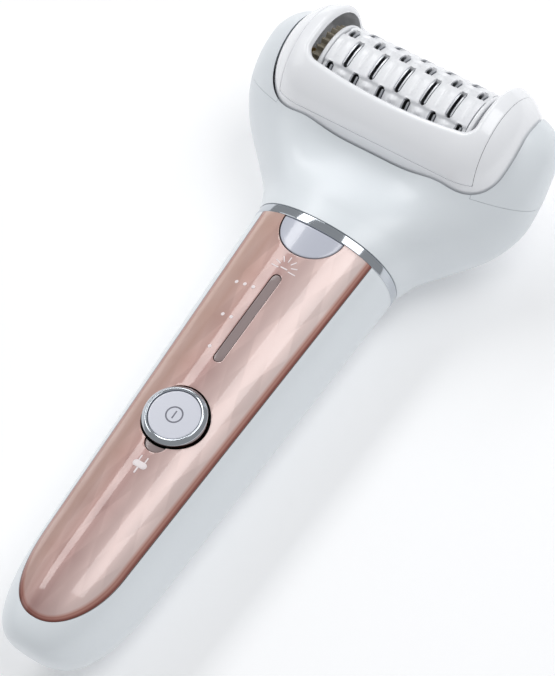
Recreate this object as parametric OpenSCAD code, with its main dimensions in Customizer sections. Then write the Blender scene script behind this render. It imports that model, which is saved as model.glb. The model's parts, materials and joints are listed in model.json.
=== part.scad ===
// Cordless epilator: a slim handle with a rose front panel and a wide pivoting
// head that carries a spinning tweezer drum. It lies on its back: +Y runs along
// the handle to the head, +Z is the front (the button side), X is across.
// The origin is on the flat back face, straight below the power button.

/* [Handle] */
// Length of the handle below the collar ring
handle_len = 107.3; // [95:0.1:125]
// Width of the handle at the collar ring
handle_w = 34.9; // [30:0.1:40]
// Width that the straight sides taper to at the bottom end
handle_end_w = 24.6; // [20:0.1:30]
// Depth of the handle from the back face to the front
handle_t = 28.5; // [26:0.1:34]
// Length of the rounded bottom end
end_round = 25.3; // [18:0.1:32]
// Wall of the handle housing
wall = 1.8; // [1.2:0.1:2.2]
// Distance from the power button to the collar ring
ring_y = 51.5; // [48:0.1:56]
// Height of the collar ring
ring_h = 2.2; // [1.5:0.1:3]
// Width of the flat strip on the back that the handle rests on
rest_w = 10; // [8:0.5:14]

/* [Front panel] */
// Half width of the panel at the collar ring
panel_w = 13.85; // [12:0.05:14.5]
// How much the half width tapers for each mm along the handle
panel_taper = 0.042; // [0.02:0.001:0.06]
// Length of the panel below the collar ring
panel_len = 102; // [90:0.5:104]
// Thickness of the panel
panel_t = 1.2; // [0.8:0.1:1.4]
// Thickness of the patterned carrier under the panel
carrier_t = 0.6; // [0.4:0.1:0.8]
// Length of the panel's rounded end
panel_round = 17; // [12:0.5:22]

/* [Buttons and lamps] */
// Outer radius of the power button's ring
button_r = 6.9; // [6:0.1:8]
// Radius of the power button's cap
button_cap_r = 5.6; // [4.5:0.1:5.9]
// Travel of the power button
button_travel = 0.6; // [0.4:0.1:0.6]
// Radius of the half-round head release button
release_r = 7.3; // [6:0.1:8]
// Travel of the release button
release_travel = 0.8; // [0.5:0.1:1]
// Width of the lamp bar
bar_w = 2.1; // [1.6:0.1:3]
// Length of the lamp bar
bar_len = 23.4; // [16:0.1:26]
// Distance from the collar ring to the top of the lamp bar
bar_top = 13.3; // [11:0.1:16]

/* [Drive] */
// Height of the motor, battery and drive shaft above the back face
drive_z = 11.2; // [11:0.1:11.6]
// Radius of the motor
motor_r = 8.2; // [7:0.1:8.4]
// Length of the motor
motor_len = 25; // [20:0.5:26]
// Radius of the battery cell
cell_r = 7.1; // [6:0.1:7.3]
// Length of the battery cell
cell_len = 48; // [40:0.5:50]
// Module of the gears
gear_m = 0.6; // [0.55:0.01:0.62]
// Teeth of the drum gear
drum_teeth = 30; // [28:2:30]
// Teeth of the idler gear
idler_teeth = 18; // [18:1:20]
// Teeth of the lay shaft's spur gear
lay_teeth = 12; // [12:1:13]
// Teeth of the crown gear
crown_teeth = 20; // [18:2:20]
// Teeth of the input pinion
pinion_teeth = 12; // [11:1:12]
// Backlash between meshing teeth
backlash = 0.2; // [0.1:0.02:0.3]

/* [Head] */
// Distance from the collar ring to the drum's axis
axis_up = 36; // [35:0.1:39]
// How far the drum's axis lies behind the front of the handle
axis_back = 2; // [0:0.1:4]
// Angle of the tweezer window, from the handle's line towards the front
head_tilt = 52; // [46:1:58]
// Depth of the hollow that dips into the head's front under the window
dish = 3.8; // [0:0.1:4]
// Half width of that hollow
dish_w = 14.5; // [8:0.5:16]
// Half width of the head shell across the ears
ear_w = 36.2; // [35.6:0.1:38]
// Wall of the head shell
shell_wall = 2; // [1.5:0.1:2.4]
// Radius of the pivoting head
barrel_r = 14.4; // [13.8:0.1:15]
// Half length of the pivoting head
barrel_x = 29.6; // [28.6:0.1:30]
// Radius that rounds the ends of the pivoting head
barrel_round = 11; // [8:0.5:12]
// Wall of the pivoting frame and its cap
barrel_wall = 1.4; // [1:0.1:1.8]
// Gap between the pivoting head and the shell
barrel_gap = 0.45; // [0.3:0.05:0.8]
// Half length of the window
window_x = 20.9; // [18:0.1:21.4]
// Angle of the window's front edge from its middle
window_front = 66; // [50:1:72]
// Angle of the window's back edge from its middle
window_back = 66; // [50:1:72]

/* [Drum] */
// Radius of the tweezer drum over its pads
drum_r = 10.8; // [9.5:0.1:11.2]
// Radius of the drum's core
core_r = 7; // [6:0.1:7.4]
// Spacing of the tweezer plates along the drum
plate_pitch = 3.25; // [3:0.01:3.3]
// Number of tweezer plates
plate_count = 11; // [9:2:11]
// Thickness of a tweezer plate
plate_t = 0.35; // [0.25:0.05:0.4]
// Travel that closes the tweezers
plate_travel = 0.6; // [0.4:0.1:0.6]
// Radius of the steel axle
axle_r = 1.5; // [1.2:0.1:1.8]
// Running clearance of shafts and bores
run_gap = 0.05; // [0.03:0.01:0.08]

/* [Hidden] */

fit_gap = 0.1;              // gap all round a piece that is set into another
sec_n = 2.2;                // squareness of every oval section
end_n = 2.47;               // squareness of the handle's rounded end
around = 48;                // points round an oval section
rest_cut = 0.15;            // how far the flat strip is cut into the round back
mid_share = 0.71;           // height of the rounded end's tip, as a share of the depth
axis_y = ring_y + axis_up;
axis_z = handle_t - axis_back;
white = [0.93, 0.94, 0.96];
rose = [0.80, 0.62, 0.59];
steel = [0.75, 0.76, 0.78];
dark = [0.25, 0.25, 0.27];

// ---- functions ------------------------------------------------------------
function sgn_pow(v, p) = sign(v) * pow(abs(v), p);
function oval_x(t, n = sec_n) = sgn_pow(cos(t), 2 / n);
function oval_z(t, n = sec_n) = sgn_pow(sin(t), 2 / n);
function lerp(a, b, t) = a + (b - a) * t;
// Smooth curve through stations, by cubic pieces with averaged slopes
function slope(xs, vs, i) =
    i == 0 ? (vs[1] - vs[0]) / (xs[1] - xs[0]) :
    i == len(xs) - 1 ? (vs[i] - vs[i - 1]) / (xs[i] - xs[i - 1]) :
    (vs[i + 1] - vs[i - 1]) / (xs[i + 1] - xs[i - 1]);
function seg_at(xs, x, i = 0) = i >= len(xs) - 2 || x < xs[i + 1] ? i : seg_at(xs, x, i + 1);
function curve_at(xs, vs, x) =
    let(i = seg_at(xs, x), h = xs[i + 1] - xs[i], t = (x - xs[i]) / h)
    (2 * t^3 - 3 * t^2 + 1) * vs[i] + (t^3 - 2 * t^2 + t) * h * slope(xs, vs, i)
    + (3 * t^2 - 2 * t^3) * vs[i + 1] + (t^3 - t^2) * h * slope(xs, vs, i + 1);

// Handle section at y: half width, centre height, half depth
function end_t(y) = max(0, min(1, ((ring_y - y) - (handle_len - end_round)) / end_round));
function end_k(y) = pow(1 - pow(end_t(y), end_n), 1 / end_n);
function handle_a(y) =
    lerp(handle_w, handle_end_w, (ring_y - y) / handle_len) / 2 * pow(max(end_k(y), 0.02), 0.75);
function handle_top(y) = handle_t * lerp(mid_share, 1, end_k(y));
function handle_low(y) = handle_t * mid_share * (1 - end_k(y)) - rest_cut * end_k(y);
function handle_mid(y) = (handle_top(y) + handle_low(y)) / 2;
function handle_b(y) = (handle_top(y) - handle_low(y)) / 2;
function handle_ring(y, inset = 0) = [for (i = [0:around - 1]) let(t = 360 * i / around)
    [(handle_a(y) - inset) * oval_x(t), y, handle_mid(y) + (handle_b(y) - inset) * oval_z(t)]];
// Height of the handle's front surface at x, inset d under it
function front_z(x, y, d = 0) =
    handle_mid(y) + (handle_b(y) - d)
    * pow(max(0, 1 - pow(min(1, abs(x) / (handle_a(y) - d)), sec_n)), 1 / sec_n);

// Half width of the panel at y
function panel_end_t(y) = max(0, min(1, (ring_y - y - (panel_len - panel_round)) / panel_round));
function panel_half(y) =
    (panel_w - panel_taper * (ring_y - y)) * pow(1 - pow(panel_end_t(y), 2.2), 1 / 2.2);

// Head shell section stations: distance above the handle's ring edge, then
// half width, front height and back height (both from the handle's front)
shell_h = axis_up + 11.4 - ring_h;
base_y = ring_y + ring_h + 0.05;
st_y = [0, 0.12, 0.25, 0.38, 0.51, 0.64, 0.77, 0.89, 0.96, 1] * shell_h;
st_a = [0.487, 0.56, 0.71, 0.87, 0.972, 1, 0.99, 0.965, 0.945, 0.93] * ear_w;
st_f = [0.1, -0.2, 0.6, 2.4, 6.0, 9.5, 10.8, 9.8, 8.7, 8];
st_b = [0.05, 0.1, 0.4, 1.5, 4.2, 8.2, 12.4, 15.6, 16.6, 17];
ear_round = 11;             // length over which the ears round off at the top
dish_from = 5;              // the hollow starts this far up the head
dish_full = 18;             // and is at its full depth from here on
function dish_at(x, s) =
    let(t = max(0, min(1, (s - dish_from) / (dish_full - dish_from))))
    dish * exp(-pow(x / dish_w, 4)) * t * t * (3 - 2 * t);
function shell_ring(s, inset = 0) =
    let(u = max(0, (s - shell_h + ear_round) / ear_round), k = pow(1 - pow(u, 2.2), 1 / 2.2),
        a = curve_at(st_y, st_a, s) * pow(k, 0.2) - inset,
        top = handle_t + curve_at(st_y, st_f, s),
        low = curve_at(st_y, st_b, s))
    [for (i = [0:around - 1]) let(t = 360 * i / around)
        [a * oval_x(t), base_y + s, (top + low) / 2 + ((top - low) / 2 * k - inset) * oval_z(t)
            - dish_at(a * oval_x(t), s) * max(0, oval_z(t))]];

// Closed skin through rings of points that all have the same count
module skin(rings, loop = false) {
    n = len(rings[0]);
    m = len(rings);
    pts = [for (r = rings) each r];
    sides = [for (j = [0:(loop ? m - 1 : m - 2)]) for (i = [0:n - 1])
        let(a = j * n + i, b = j * n + (i + 1) % n, c = ((j + 1) % m) * n + (i + 1) % n,
            d = ((j + 1) % m) * n + i) each [[a, b, c], [a, c, d]]];
    caps = loop ? [] : [[for (i = [n - 1:-1:0]) i], [for (i = [0:n - 1]) (m - 1) * n + i]];
    polyhedron(points = pts, faces = concat(sides, caps), convexity = 8);
}

// A curved sheet that follows the handle's front between insets d0 and d1.
// rows: list of [y, half width]
module front_sheet(rows, d0, d1, across = 14) {
    skin([for (r = rows) let(y = r[0], w = r[1])
        concat(
            [for (i = [0:across]) let(x = lerp(-w, w, i / across)) [x, y, front_z(x, y, d0)]],
            [for (i = [across:-1:0]) let(x = lerp(-w, w, i / across)) [x, y, front_z(x, y, d1)]])]);
}

// Rows of the panel's outline, drawn in by g all round
function panel_rows(g) = let(y0 = ring_y - g, y1 = ring_y - panel_len + g, r = panel_round - g)
    concat([for (i = [0:7]) let(y = lerp(y0, y1 + r, i / 8)) [y, panel_half(y) - g]],
           [for (i = [0:10])
               let(y = y1 + r * (1 - sin(88 * i / 10)))
               [y, max(0.3, panel_half(y - g * i / 10) - g)]]);

module along_y(y0, y1, z = drive_z) {
    translate([0, y0, z]) rotate([-90, 0, 0])
        linear_extrude(y1 - y0) children();
}
module rod_y(r, y0, y1, z = drive_z) {
    translate([0, y0, z]) rotate([-90, 0, 0])
        cylinder(r = r, h = y1 - y0, $fn = 48);
}
module rod_x(r, x0, x1, y = axis_y, z = axis_z) {
    translate([x0, y, z]) rotate([0, 90, 0])
        cylinder(r = r, h = x1 - x0, $fn = 64);
}
module oval(a, b) { polygon([for (i = [0:47]) [a * oval_x(7.5 * i), b * oval_z(7.5 * i)]]); }
// Puts a part drawn round the Z axis on the drum's axis, which lies along X;
// its 0 degree side then faces the tweezer window
module on_axis(turn = 0) {
    translate([0, axis_y, axis_z]) rotate([head_tilt + turn, 0, 0])
        rotate([90, 0, 90]) children();
}

// ---- handle ---------------------------------------------------------------
housing_floor = 9.5;
inner_top = ring_y - handle_len + housing_floor;
function housing_rows() = concat([for (i = [0:6]) ring_y - (handle_len - end_round) * i / 6],
    [for (i = [1:11]) ring_y - handle_len + end_round * (1 - sin(86 * i / 11))]);
module panel_prism(g) {
    rows = panel_rows(g);
    translate([0, 0, handle_t * 0.55]) linear_extrude(handle_t)
        polygon(concat([[-rows[0][1], ring_y + 1], [rows[0][1], ring_y + 1]],
            [for (r = rows) [r[1], r[0]]],
            [for (i = [len(rows) - 1:-1:0]) [-rows[i][1], rows[i][0]]]));
}
module handle_housing() color(white) difference() {
    skin(concat(
        [for (i = [0:7]) handle_ring(lerp(inner_top, ring_y, i / 7), wall)],
        [for (y = housing_rows()) handle_ring(y)]));
    panel_prism(-fit_gap);
    // recess for the charging plug in the bottom end
    translate([-socket_w / 2 - fit_gap, ring_y - handle_len - 1, socket_z - fit_gap])
        cube([socket_w + 2 * fit_gap, housing_floor + 4, socket_h + 2 * fit_gap]);
    // flat strip that the handle rests on
    translate([-rest_w / 2, ring_y - handle_len + end_round, -1])
        cube([rest_w, handle_len - end_round + 1, 1]);
}
module panel_holes(gap) {
    cylinder(r = button_r + 0.5 + gap, h = 60, $fn = 72);
    translate([0, -button_r + 0.4, 0]) cylinder(r = 2.6 + gap, h = 60, $fn = 48);
    bar_slot(bar_w / 2 + fit_gap + gap);
    translate([0, ring_y, 0]) cylinder(r = release_r + 0.3 + gap, h = 60, $fn = 72);
}
module bar_slot(r) {
    y0 = ring_y - bar_top - bar_w / 2;
    y1 = ring_y - bar_top - bar_len + bar_w / 2;
    for (y = [y0, y1]) translate([0, y, 0]) cylinder(r = r, h = 60, $fn = 32);
    translate([-r, y1, 0]) cube([2 * r, y0 - y1, 60]);
}
module front_panel() color(rose, 0.75) difference() {
    front_sheet(panel_rows(0), 0, panel_t);
    panel_holes(0);
}
carrier_in = 1.2;
module panel_carrier() color(rose * 0.8) difference() {
    front_sheet(panel_rows(carrier_in), panel_t + 0.05, panel_t + 0.05 + carrier_t);
    panel_holes(0.3);
}
// Soft seal that fills the joint under the panel's edge
module panel_gasket() color(dark) {
    g0 = 0.15;
    g1 = carrier_in - 0.15;
    rows0 = panel_rows(g0);
    rows1 = panel_rows(g1);
    last = len(rows0) - 1;
    d0 = panel_t + 0.2;
    d1 = panel_t + 0.6;
    path = concat([for (i = [0:last]) [rows0[i], rows1[i], 1]],
                  [for (i = [last:-1:0]) [rows0[i], rows1[i], -1]]);
    skin([for (p = path) let(xo = p[0][1] * p[2], yo = p[0][0], xi = p[1][1] * p[2], yi = p[1][0])
        [[xo, yo, front_z(xo, yo, d0)], [xi, yi, front_z(xi, yi, d0)],
         [xi, yi, front_z(xi, yi, d1)], [xo, yo, front_z(xo, yo, d1)]]], loop = false);
}
module collar_ring() color(steel) along_y(ring_y + 0.02, ring_y + ring_h, handle_t / 2) difference() {
    oval(handle_w / 2 + 0.15, handle_t / 2 - 0.05);
    oval(handle_w / 2 - wall, handle_t / 2 - wall);
}
neck_t = 2.5;
neck_top = ring_y - 3;
// Room under the release button for its travel
module button_room()
    translate([0, ring_y, front_z(release_r, ring_y, 1.6) - release_travel - 0.3])
        cylinder(r = release_r + 0.5, h = 30, $fn = 72);
module neck_plate() color(white * 0.9) difference() {
    along_y(neck_top - neck_t, neck_top, handle_t / 2)
        oval(handle_w / 2 - wall - 0.3, handle_t / 2 - wall - 0.3);
    rod_y(4.4, ring_y - 10, ring_y);
    translate([-3.6, ring_y - 10, spring_seat_z]) cube([7.2, 20, 30]);
    button_room();
}

// ---- head release button --------------------------------------------------
spring_seat_z = 18.6;
stem_low = 22;
stem_y = neck_top - neck_t / 2;
stem_half = 3.2;            // half width of the button's stem
stem_t = 2.2;
module release_button() color([0.72, 0.74, 0.80], 0.8)
    front_sheet([for (i = [0:9]) let(y = -release_r * sin(82 * i / 9))
        [ring_y - 0.15 + y * 0.97, sqrt(release_r^2 - y^2)]], 0.05, 1.6, 10);
module release_stem() color(white * 0.9) {
    translate([-stem_half, stem_y - stem_t / 2, stem_low])
        cube([2 * stem_half, stem_t, front_z(stem_half, stem_y, 1.65) - stem_low]);
    translate([-1.2, stem_y + stem_t / 2, stem_low]) cube([2.4, 1.2, 2]);
}
module release_spring() color(steel) {
    turns = 4;
    steps = 14;
    wire = 0.22;
    rc = 0.85;
    rise = stem_low - spring_seat_z - 2 * wire - 0.06;
    skin([for (i = [0:turns * steps]) let(t = 360 * i / steps, h = rise * i / (turns * steps))
        [for (k = [0:7]) let(u = 45 * k, r = rc + wire * cos(u))
            [r * cos(t), stem_y + r * sin(t), spring_seat_z + wire + 0.03 + h + wire * sin(u)]]]);
}

// ---- power button and lamps -----------------------------------------------
button_top = handle_t + 1.1;
module power_button_ring() color(steel) rotate_extrude($fn = 96)
    polygon([[button_cap_r + 0.05, button_top - 3], [button_r, button_top - 3],
        [button_r, button_top - 0.75],
        [button_r - 0.28, button_top - 0.25], [button_r - 0.7, button_top],
        [button_cap_r + 0.05, button_top - 0.2]]);
module power_button_cap() color([0.83, 0.84, 0.88]) {
    translate([0, 0, button_top - 1.6]) cylinder(r = button_cap_r, h = 1.35, $fn = 96);
    translate([0, 0, button_top - 2.6]) cylinder(r = button_cap_r - 1, h = 1, $fn = 72);
    translate([0, 0, board_top + 2.8]) cylinder(r = 1.6, h = button_top - 2.6 - board_top - 2.8, $fn = 32);
}
module button_seal() color(dark) translate([0, 0, handle_t - 3.5]) difference() {
    cylinder(r = button_r + 0.35, h = 0.7, $fn = 72);
    translate([0, 0, -1]) cylinder(r = 1.8, h = 3, $fn = 32);
}
module charge_lamp() color([0.3, 0.25, 0.25]) difference() {
    translate([0, -button_r + 0.4, handle_t - 2.6]) cylinder(r = 2.5, h = 2.35, $fn = 48);
    cylinder(r = button_r + 0.45, h = 60, $fn = 72);
}
module lamp_bar() color([0.5, 0.43, 0.43]) intersection() {
    bar_slot(bar_w / 2);
    translate([-5, 0, handle_t - 2.4]) cube([10, ring_y, 2.3]);
}
module light_guide() color([0.9, 0.9, 0.95]) {
    y1 = ring_y - bar_top - bar_len;
    translate([-bar_w / 2, y1 + 1, board_top + 0.55])
        cube([bar_w, bar_len - 2, handle_t - 2.45 - board_top - 0.55]);
}

// ---- inside the handle ----------------------------------------------------
board_t = 1.2;
board_z = drive_z + motor_r + 1.2;
board_top = board_z + board_t;
board_y0 = -40;
board_y1 = neck_top - neck_t - 2.5;
cell_y0 = -34;
cell_y1 = cell_y0 + cell_len;
motor_y1 = neck_top - neck_t - 0.1;
motor_y0 = motor_y1 - motor_len;
cradle_w = 2 * cell_r + 3;
screw_x = 5.5;              // the cradle's screws stand this far either side
module circuit_board() color([0.12, 0.42, 0.25]) difference() {
    translate([-7.5, board_y0, board_z]) cube([15, board_y1 - board_y0, board_t]);
    for (y = [board_y0 + 3, cell_y1 + 2.2]) for (x = [-screw_x, screw_x])
        translate([x, y, 0]) cylinder(r = 0.85, h = 60, $fn = 32);
}
module board_parts() color(dark) {
    for (y = [-30, -16]) translate([-3, y, board_top]) cube([6, 7, 1.3]);
    for (i = [0:4]) translate([-6.2, -34 + 4.5 * i, board_top]) cube([1.2, 2, 0.7]);
    for (i = [0:4]) translate([5, -34 + 4.5 * i, board_top]) cube([1.2, 2, 0.7]);
    translate([4.5, 12, board_top]) cylinder(r = 1.5, h = 1.6, $fn = 32);
    for (i = [0:2])
        translate([-0.8, ring_y - bar_top - bar_len + 4 + 7.4 * i, board_top])
            cube([1.6, 0.8, 0.5]);
}
module switch() color(steel) {
    translate([-2.2, -2.2, board_top]) cube([4.4, 4.4, 1.4]);
    translate([0, 0, board_top + 1.4]) cylinder(r = 1.2, h = 0.7, $fn = 32);
}
module battery_cradle() color(white * 0.85) difference() {
    union() {
        translate([-cradle_w / 2, cell_y0 - 2.2, drive_z - 4.5]) cube([cradle_w, cell_len + 6.2, 9]);
        for (y = [board_y0 + 4, cell_y1 + 1]) for (s = [-1, 1])
            translate([s * screw_x - 1.5, y - 0.2, drive_z])
                cube([3, 2.4, board_z - drive_z]);
    }
    rod_y(cell_r + fit_gap, cell_y0 - 0.35, cell_y1 + 0.6);
    rod_y(3, cell_y0 - 10, cell_y1 + 20);
    for (y = [board_y0 + 3, cell_y1 + 2.2]) for (x = [-screw_x, screw_x])
        translate([x, y, drive_z + 2]) cylinder(r = 0.55, h = 30, $fn = 24);
}
module battery_cell() color([0.25, 0.45, 0.65]) {
    rod_y(cell_r, cell_y0, cell_y1 - 1);
    rod_y(cell_r * 0.4, cell_y1 - 1, cell_y1);
}
module battery_tabs() color(steel) {
    translate([-2, cell_y1 + 0.02, drive_z - 2]) cube([4, 0.25, board_z - drive_z + 1.9]);
    translate([-2, cell_y0 - 0.27, drive_z - 2]) cube([4, 0.25, board_z - drive_z + 1.9]);
}
module motor_mount() color(white * 0.8) difference() {
    translate([-motor_r - 2, motor_y0 - 1.7, drive_z - 5]) cube([2 * motor_r + 4, motor_len + 1.3, 10]);
    rod_y(motor_r + run_gap, motor_y0 - 0.1, motor_y1 + 5);
    rod_y(4, motor_y0 - 5, motor_y1);
}
module motor() color(steel) difference() {
    union() {
        rod_y(motor_r, motor_y0, motor_y1 - 0.4);
        rod_y(2.8, motor_y1 - 0.4, motor_y1 + 1);
    }
    rod_y(1 + run_gap, motor_y0 + 4, motor_y1 + 5);
}
module motor_shaft() color(steel * 0.8) rod_y(1, motor_y0 + 4.2, ring_y + 1.6);
module drive_dog() color(dark) difference() {
    union() {
        rod_y(2.6, motor_y1 + 1.1, motor_y1 + 2.2);
        translate([0, motor_y1 + 2.2, drive_z]) rotate([-90, 0, 0])
            cylinder(r = 2.3, h = ring_y + 1.6 - motor_y1 - 2.2, $fn = 6);
    }
    rod_y(1, motor_y1, ring_y + 5);
}
module shaft_seal() color(dark) difference() {
    rod_y(4.35, neck_top - neck_t + 1.3, neck_top - 0.2);
    rod_y(2.75, ring_y - 12, ring_y);
}
socket_w = 8;
socket_h = 7;
socket_z = 6;
socket_y = ring_y - handle_len + housing_floor - 2;
module charging_socket() color(dark) difference() {
    translate([-socket_w / 2, socket_y, socket_z]) cube([socket_w, 7, socket_h]);
    for (x = [-1.8, 1.8]) translate([x, socket_y - 1, socket_z + socket_h / 2]) rotate([-90, 0, 0])
        cylinder(r = 0.62, h = 20, $fn = 24);
}
module charging_pins() color([0.8, 0.65, 0.3]) for (x = [-1.8, 1.8])
    translate([x, socket_y - 2.6, socket_z + socket_h / 2]) rotate([-90, 0, 0])
        cylinder(r = 0.6, h = 11, $fn = 24);
module screw(r, l) {
    cylinder(r = r, h = l, $fn = 24);
    translate([0, 0, l]) difference() {
        cylinder(r = 1.8 * r, h = 0.9 * r, $fn = 32);
        translate([0, 0, 0.45 * r]) {
            translate([-1.2 * r, -0.2 * r, 0]) cube([2.4 * r, 0.4 * r, r]);
            translate([-0.2 * r, -1.2 * r, 0]) cube([0.4 * r, 2.4 * r, r]);
        }
    }
}
module cradle_screws() color(steel) for (y = [board_y0 + 3, cell_y1 + 2.2]) for (x = [-screw_x, screw_x])
    translate([x, y, board_top + 0.02 - 5]) screw(0.5, 5);

// ---- head shell -----------------------------------------------------------
split_n = -7.2;               // height of the ears' parting plane along the tilt
function barrel_rad(x) = let(t = max(0, min(1, (abs(x) - (barrel_x - barrel_round)) / barrel_round)))
    barrel_r - barrel_round + barrel_round * pow(1 - pow(t, 2.2), 1 / 2.2);
// Profile of the pivoting head, grown by g: [radius, x] pairs from -x to +x
function barrel_profile(g, steps = 12) = let(x0 = barrel_x - barrel_round,
    side = [for (i = [0:steps])
        let(x = x0 + barrel_round * sin(90 * i / steps))
        [barrel_rad(x) + g, x + g * i / steps]])
    concat([for (i = [steps:-1:0]) [side[i][0], -side[i][1]]], side);
module barrel_solid(g) on_axis() rotate_extrude($fn = 96)
    polygon(concat([[0, -barrel_x - g]], barrel_profile(g), [[0, barrel_x + g]]));
ear_x = 24.5;               // half width between the ears
// Space of one ear, above the parting plane and outside ear_x, drawn in by m
module ear_space(side, m = 0) translate([0, axis_y, axis_z]) rotate([head_tilt, 0, 0])
    translate([side > 0 ? ear_x + m : -60, split_n + m, -60]) cube([60 - ear_x - m, 80, 120]);
function shell_rows() = concat([for (i = [0:9]) (shell_h - ear_round) * i / 9],
    [for (i = [1:7]) shell_h - ear_round * (1 - sin(86 * i / 7))]);
module shell_body() skin([for (s = shell_rows()) shell_ring(s)]);
module head_shell() color(white) difference() {
    skin(concat([for (i = [8:-1:0]) shell_ring(shell_h * 0.8 * i / 8, shell_wall)],
        [for (s = shell_rows()) shell_ring(s)]));
    barrel_solid(barrel_gap);
    for (side = [-1, 1]) ear_space(side);
    // running room for the lay gear and the crown gear
    rod_x(lay_r + gear_m + 0.4, gear_x0 - gear_w - 0.3, gear_x0 + 0.4, crown_y, drive_z);
    rod_x(crown_r + crown_rim + 0.5, -pinion_r - 3.5, -pinion_r + 1, crown_y, drive_z);
}
module ear(side) difference() {
    intersection() {
        shell_body();
        ear_space(side, 0.05);
    }
    barrel_solid(barrel_gap);
    rod_x(axle_r + 0.02, -barrel_x - 3, barrel_x + 3);
}
module left_ear() color(white) ear(-1);
module right_ear() color(white) ear(1);

plug_gap = 0.3;
crown_y = axis_y - 17.5;
bearing_y = crown_y - 4.6;
module head_base() color(white * 0.85) difference() {
    union() {
        along_y(base_y + 0.1, base_y + 2.6, handle_t / 2)
            oval(handle_w / 2 - shell_wall - 0.25, handle_t / 2 - shell_wall - 0.25);
        along_y(neck_top + 0.3, base_y + 0.1, handle_t / 2)
            oval(handle_w / 2 - wall - plug_gap, handle_t / 2 - wall - plug_gap);
        rod_y(5.2, base_y + 2, base_y + 5.6);
        // post that carries the gear bracket
        translate([-12.5, base_y + 2, drive_z - 2.5]) cube([4, bearing_y - base_y - 2, 5]);
    }
    rod_y(3.6 + run_gap, neck_top - 1, base_y + 20);
    // room for the release button's stem and spring
    translate([-4, neck_top - 1, spring_seat_z - 0.5]) cube([8, base_y + 0.1 - neck_top + 0.5, 30]);
    intersection() {
        button_room();
        translate([-30, 0, 0]) cube([60, base_y + 0.1, 60]);
    }
}
// ---- gear train -----------------------------------------------------------
drum_x = plate_pitch * plate_count / 2 + 0.2;   // half length of the row of plates
lay_r = gear_m * lay_teeth / 2;
idler_r = gear_m * idler_teeth / 2;
drum_gear_r = gear_m * drum_teeth / 2;
crown_r = gear_m * crown_teeth / 2;
pinion_r = gear_m * pinion_teeth / 2;
crown_rim = 0.9;            // the crown's teeth reach this far to both sides of its pitch circle
pinion_y = crown_y - crown_r;
gear_x0 = -drum_x - 1.2;
gear_w = 2.2;
// Where the idler sits, from the three centre distances
lay_dist = norm([axis_y - crown_y, axis_z - drive_z]);
lay_dir = atan2(drive_z - axis_z, crown_y - axis_y);
side_a = drum_gear_r + idler_r;
side_b = idler_r + lay_r;
idler_dir = lay_dir - acos((side_a^2 + lay_dist^2 - side_b^2) / (2 * side_a * lay_dist));
idler_y = axis_y + side_a * cos(idler_dir);
idler_z = axis_z + side_a * sin(idler_dir);
lay_to_idler = atan2(idler_z - drive_z, idler_y - crown_y);
// Turn of each gear at rest, so that the teeth mesh
drum_turn = idler_dir;
idler_turn = idler_dir + 180 + 180 / idler_teeth;
idler_off = (idler_turn - (lay_to_idler + 180)) % (360 / idler_teeth);
lay_turn = lay_to_idler + 180 / lay_teeth - idler_off * idler_teeth / lay_teeth;

pressure = 20;
function inv_point(rb, a) = let(t = a * PI / 180) [rb * (cos(a) + t * sin(a)), rb * (sin(a) - t * cos(a))];
function roll_at(rb, r) = sqrt(max(0, (r / rb)^2 - 1)) * 180 / PI;
// Angle of the involute's point at radius r
function inv_angle(rb, r) = let(p = inv_point(rb, roll_at(rb, r))) atan2(p[1], p[0]);
function gear_outline(m, n, slack) =
    let(rp = m * n / 2, rb = rp * cos(pressure), ra = rp + 0.9 * m, rf = rp - 1.15 * m,
        r0 = max(rb, rf), half = 90 / n - slack / 2 / rp * 90 / PI)
    [for (i = [0:n - 1]) let(c = 360 * i / n) each concat(
        [[rf * cos(c - 180 / n), rf * sin(c - 180 / n)]],
        [for (j = [0:4]) let(r = lerp(r0, ra, j / 4), a = c - half + inv_angle(rb, r) - inv_angle(rb, rp))
            [r * cos(a), r * sin(a)]],
        [for (j = [4:-1:0])
            let(r = lerp(r0, ra, j / 4), a = c + half - inv_angle(rb, r) + inv_angle(rb, rp))
            [r * cos(a), r * sin(a)]])];
// Spur gear on an X axis at (y, z), from x0 over width w, with a bore
module spur_x(n, y, z, x0, w, turn, bore) translate([x0, y, z]) rotate([turn, 0, 0]) rotate([90, 0, 90])
    difference() {
        linear_extrude(w) polygon(gear_outline(gear_m, n, backlash));
        translate([0, 0, -1]) cylinder(r = bore, h = w + 2, $fn = 48);
    }
lay_shaft_r = 1;
pin_r = 1;
module input_shaft() color(steel) difference() {
    union() {
        rod_y(3.6, neck_top + 0.5, base_y + 5.6);
        rod_y(1.4, base_y + 5.6, pinion_y + 2.4);
    }
    translate([0, neck_top, drive_z]) rotate([-90, 0, 0])
        cylinder(r = 2.5, h = ring_y + 1.9 - neck_top, $fn = 6);
}
module input_pinion() color([0.85, 0.8, 0.65]) difference() {
    translate([0, pinion_y - 1.6, drive_z]) rotate([-90, 0, 0]) linear_extrude(3.2)
        rotate(180 / pinion_teeth) polygon(gear_outline(gear_m, pinion_teeth, backlash + 0.1));
    rod_y(1.42, pinion_y - 5, pinion_y + 5);
}
module crown_gear() color([0.85, 0.8, 0.65]) difference() {
    union() {
        rod_x(crown_r + crown_rim + 0.2, -pinion_r - 3.1, -pinion_r - 1.1, crown_y, drive_z);
        for (i = [0:crown_teeth - 1])
            translate([-pinion_r, crown_y, drive_z]) rotate([360 * i / crown_teeth, 0, 0])
            translate([0, crown_r + crown_rim, 0]) rotate([90, 0, 0]) linear_extrude(2 * crown_rim)
                polygon([[-1.3, -crown_half - 0.3], [0.45, -crown_half + 0.24],
                         [0.45, crown_half - 0.24], [-1.3, crown_half + 0.3]]);
    }
    rod_x(lay_shaft_r + 0.01, -60, 0, crown_y, drive_z);
}
crown_half = gear_m * PI / 4 - 0.16;   // half thickness of a crown tooth
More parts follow.
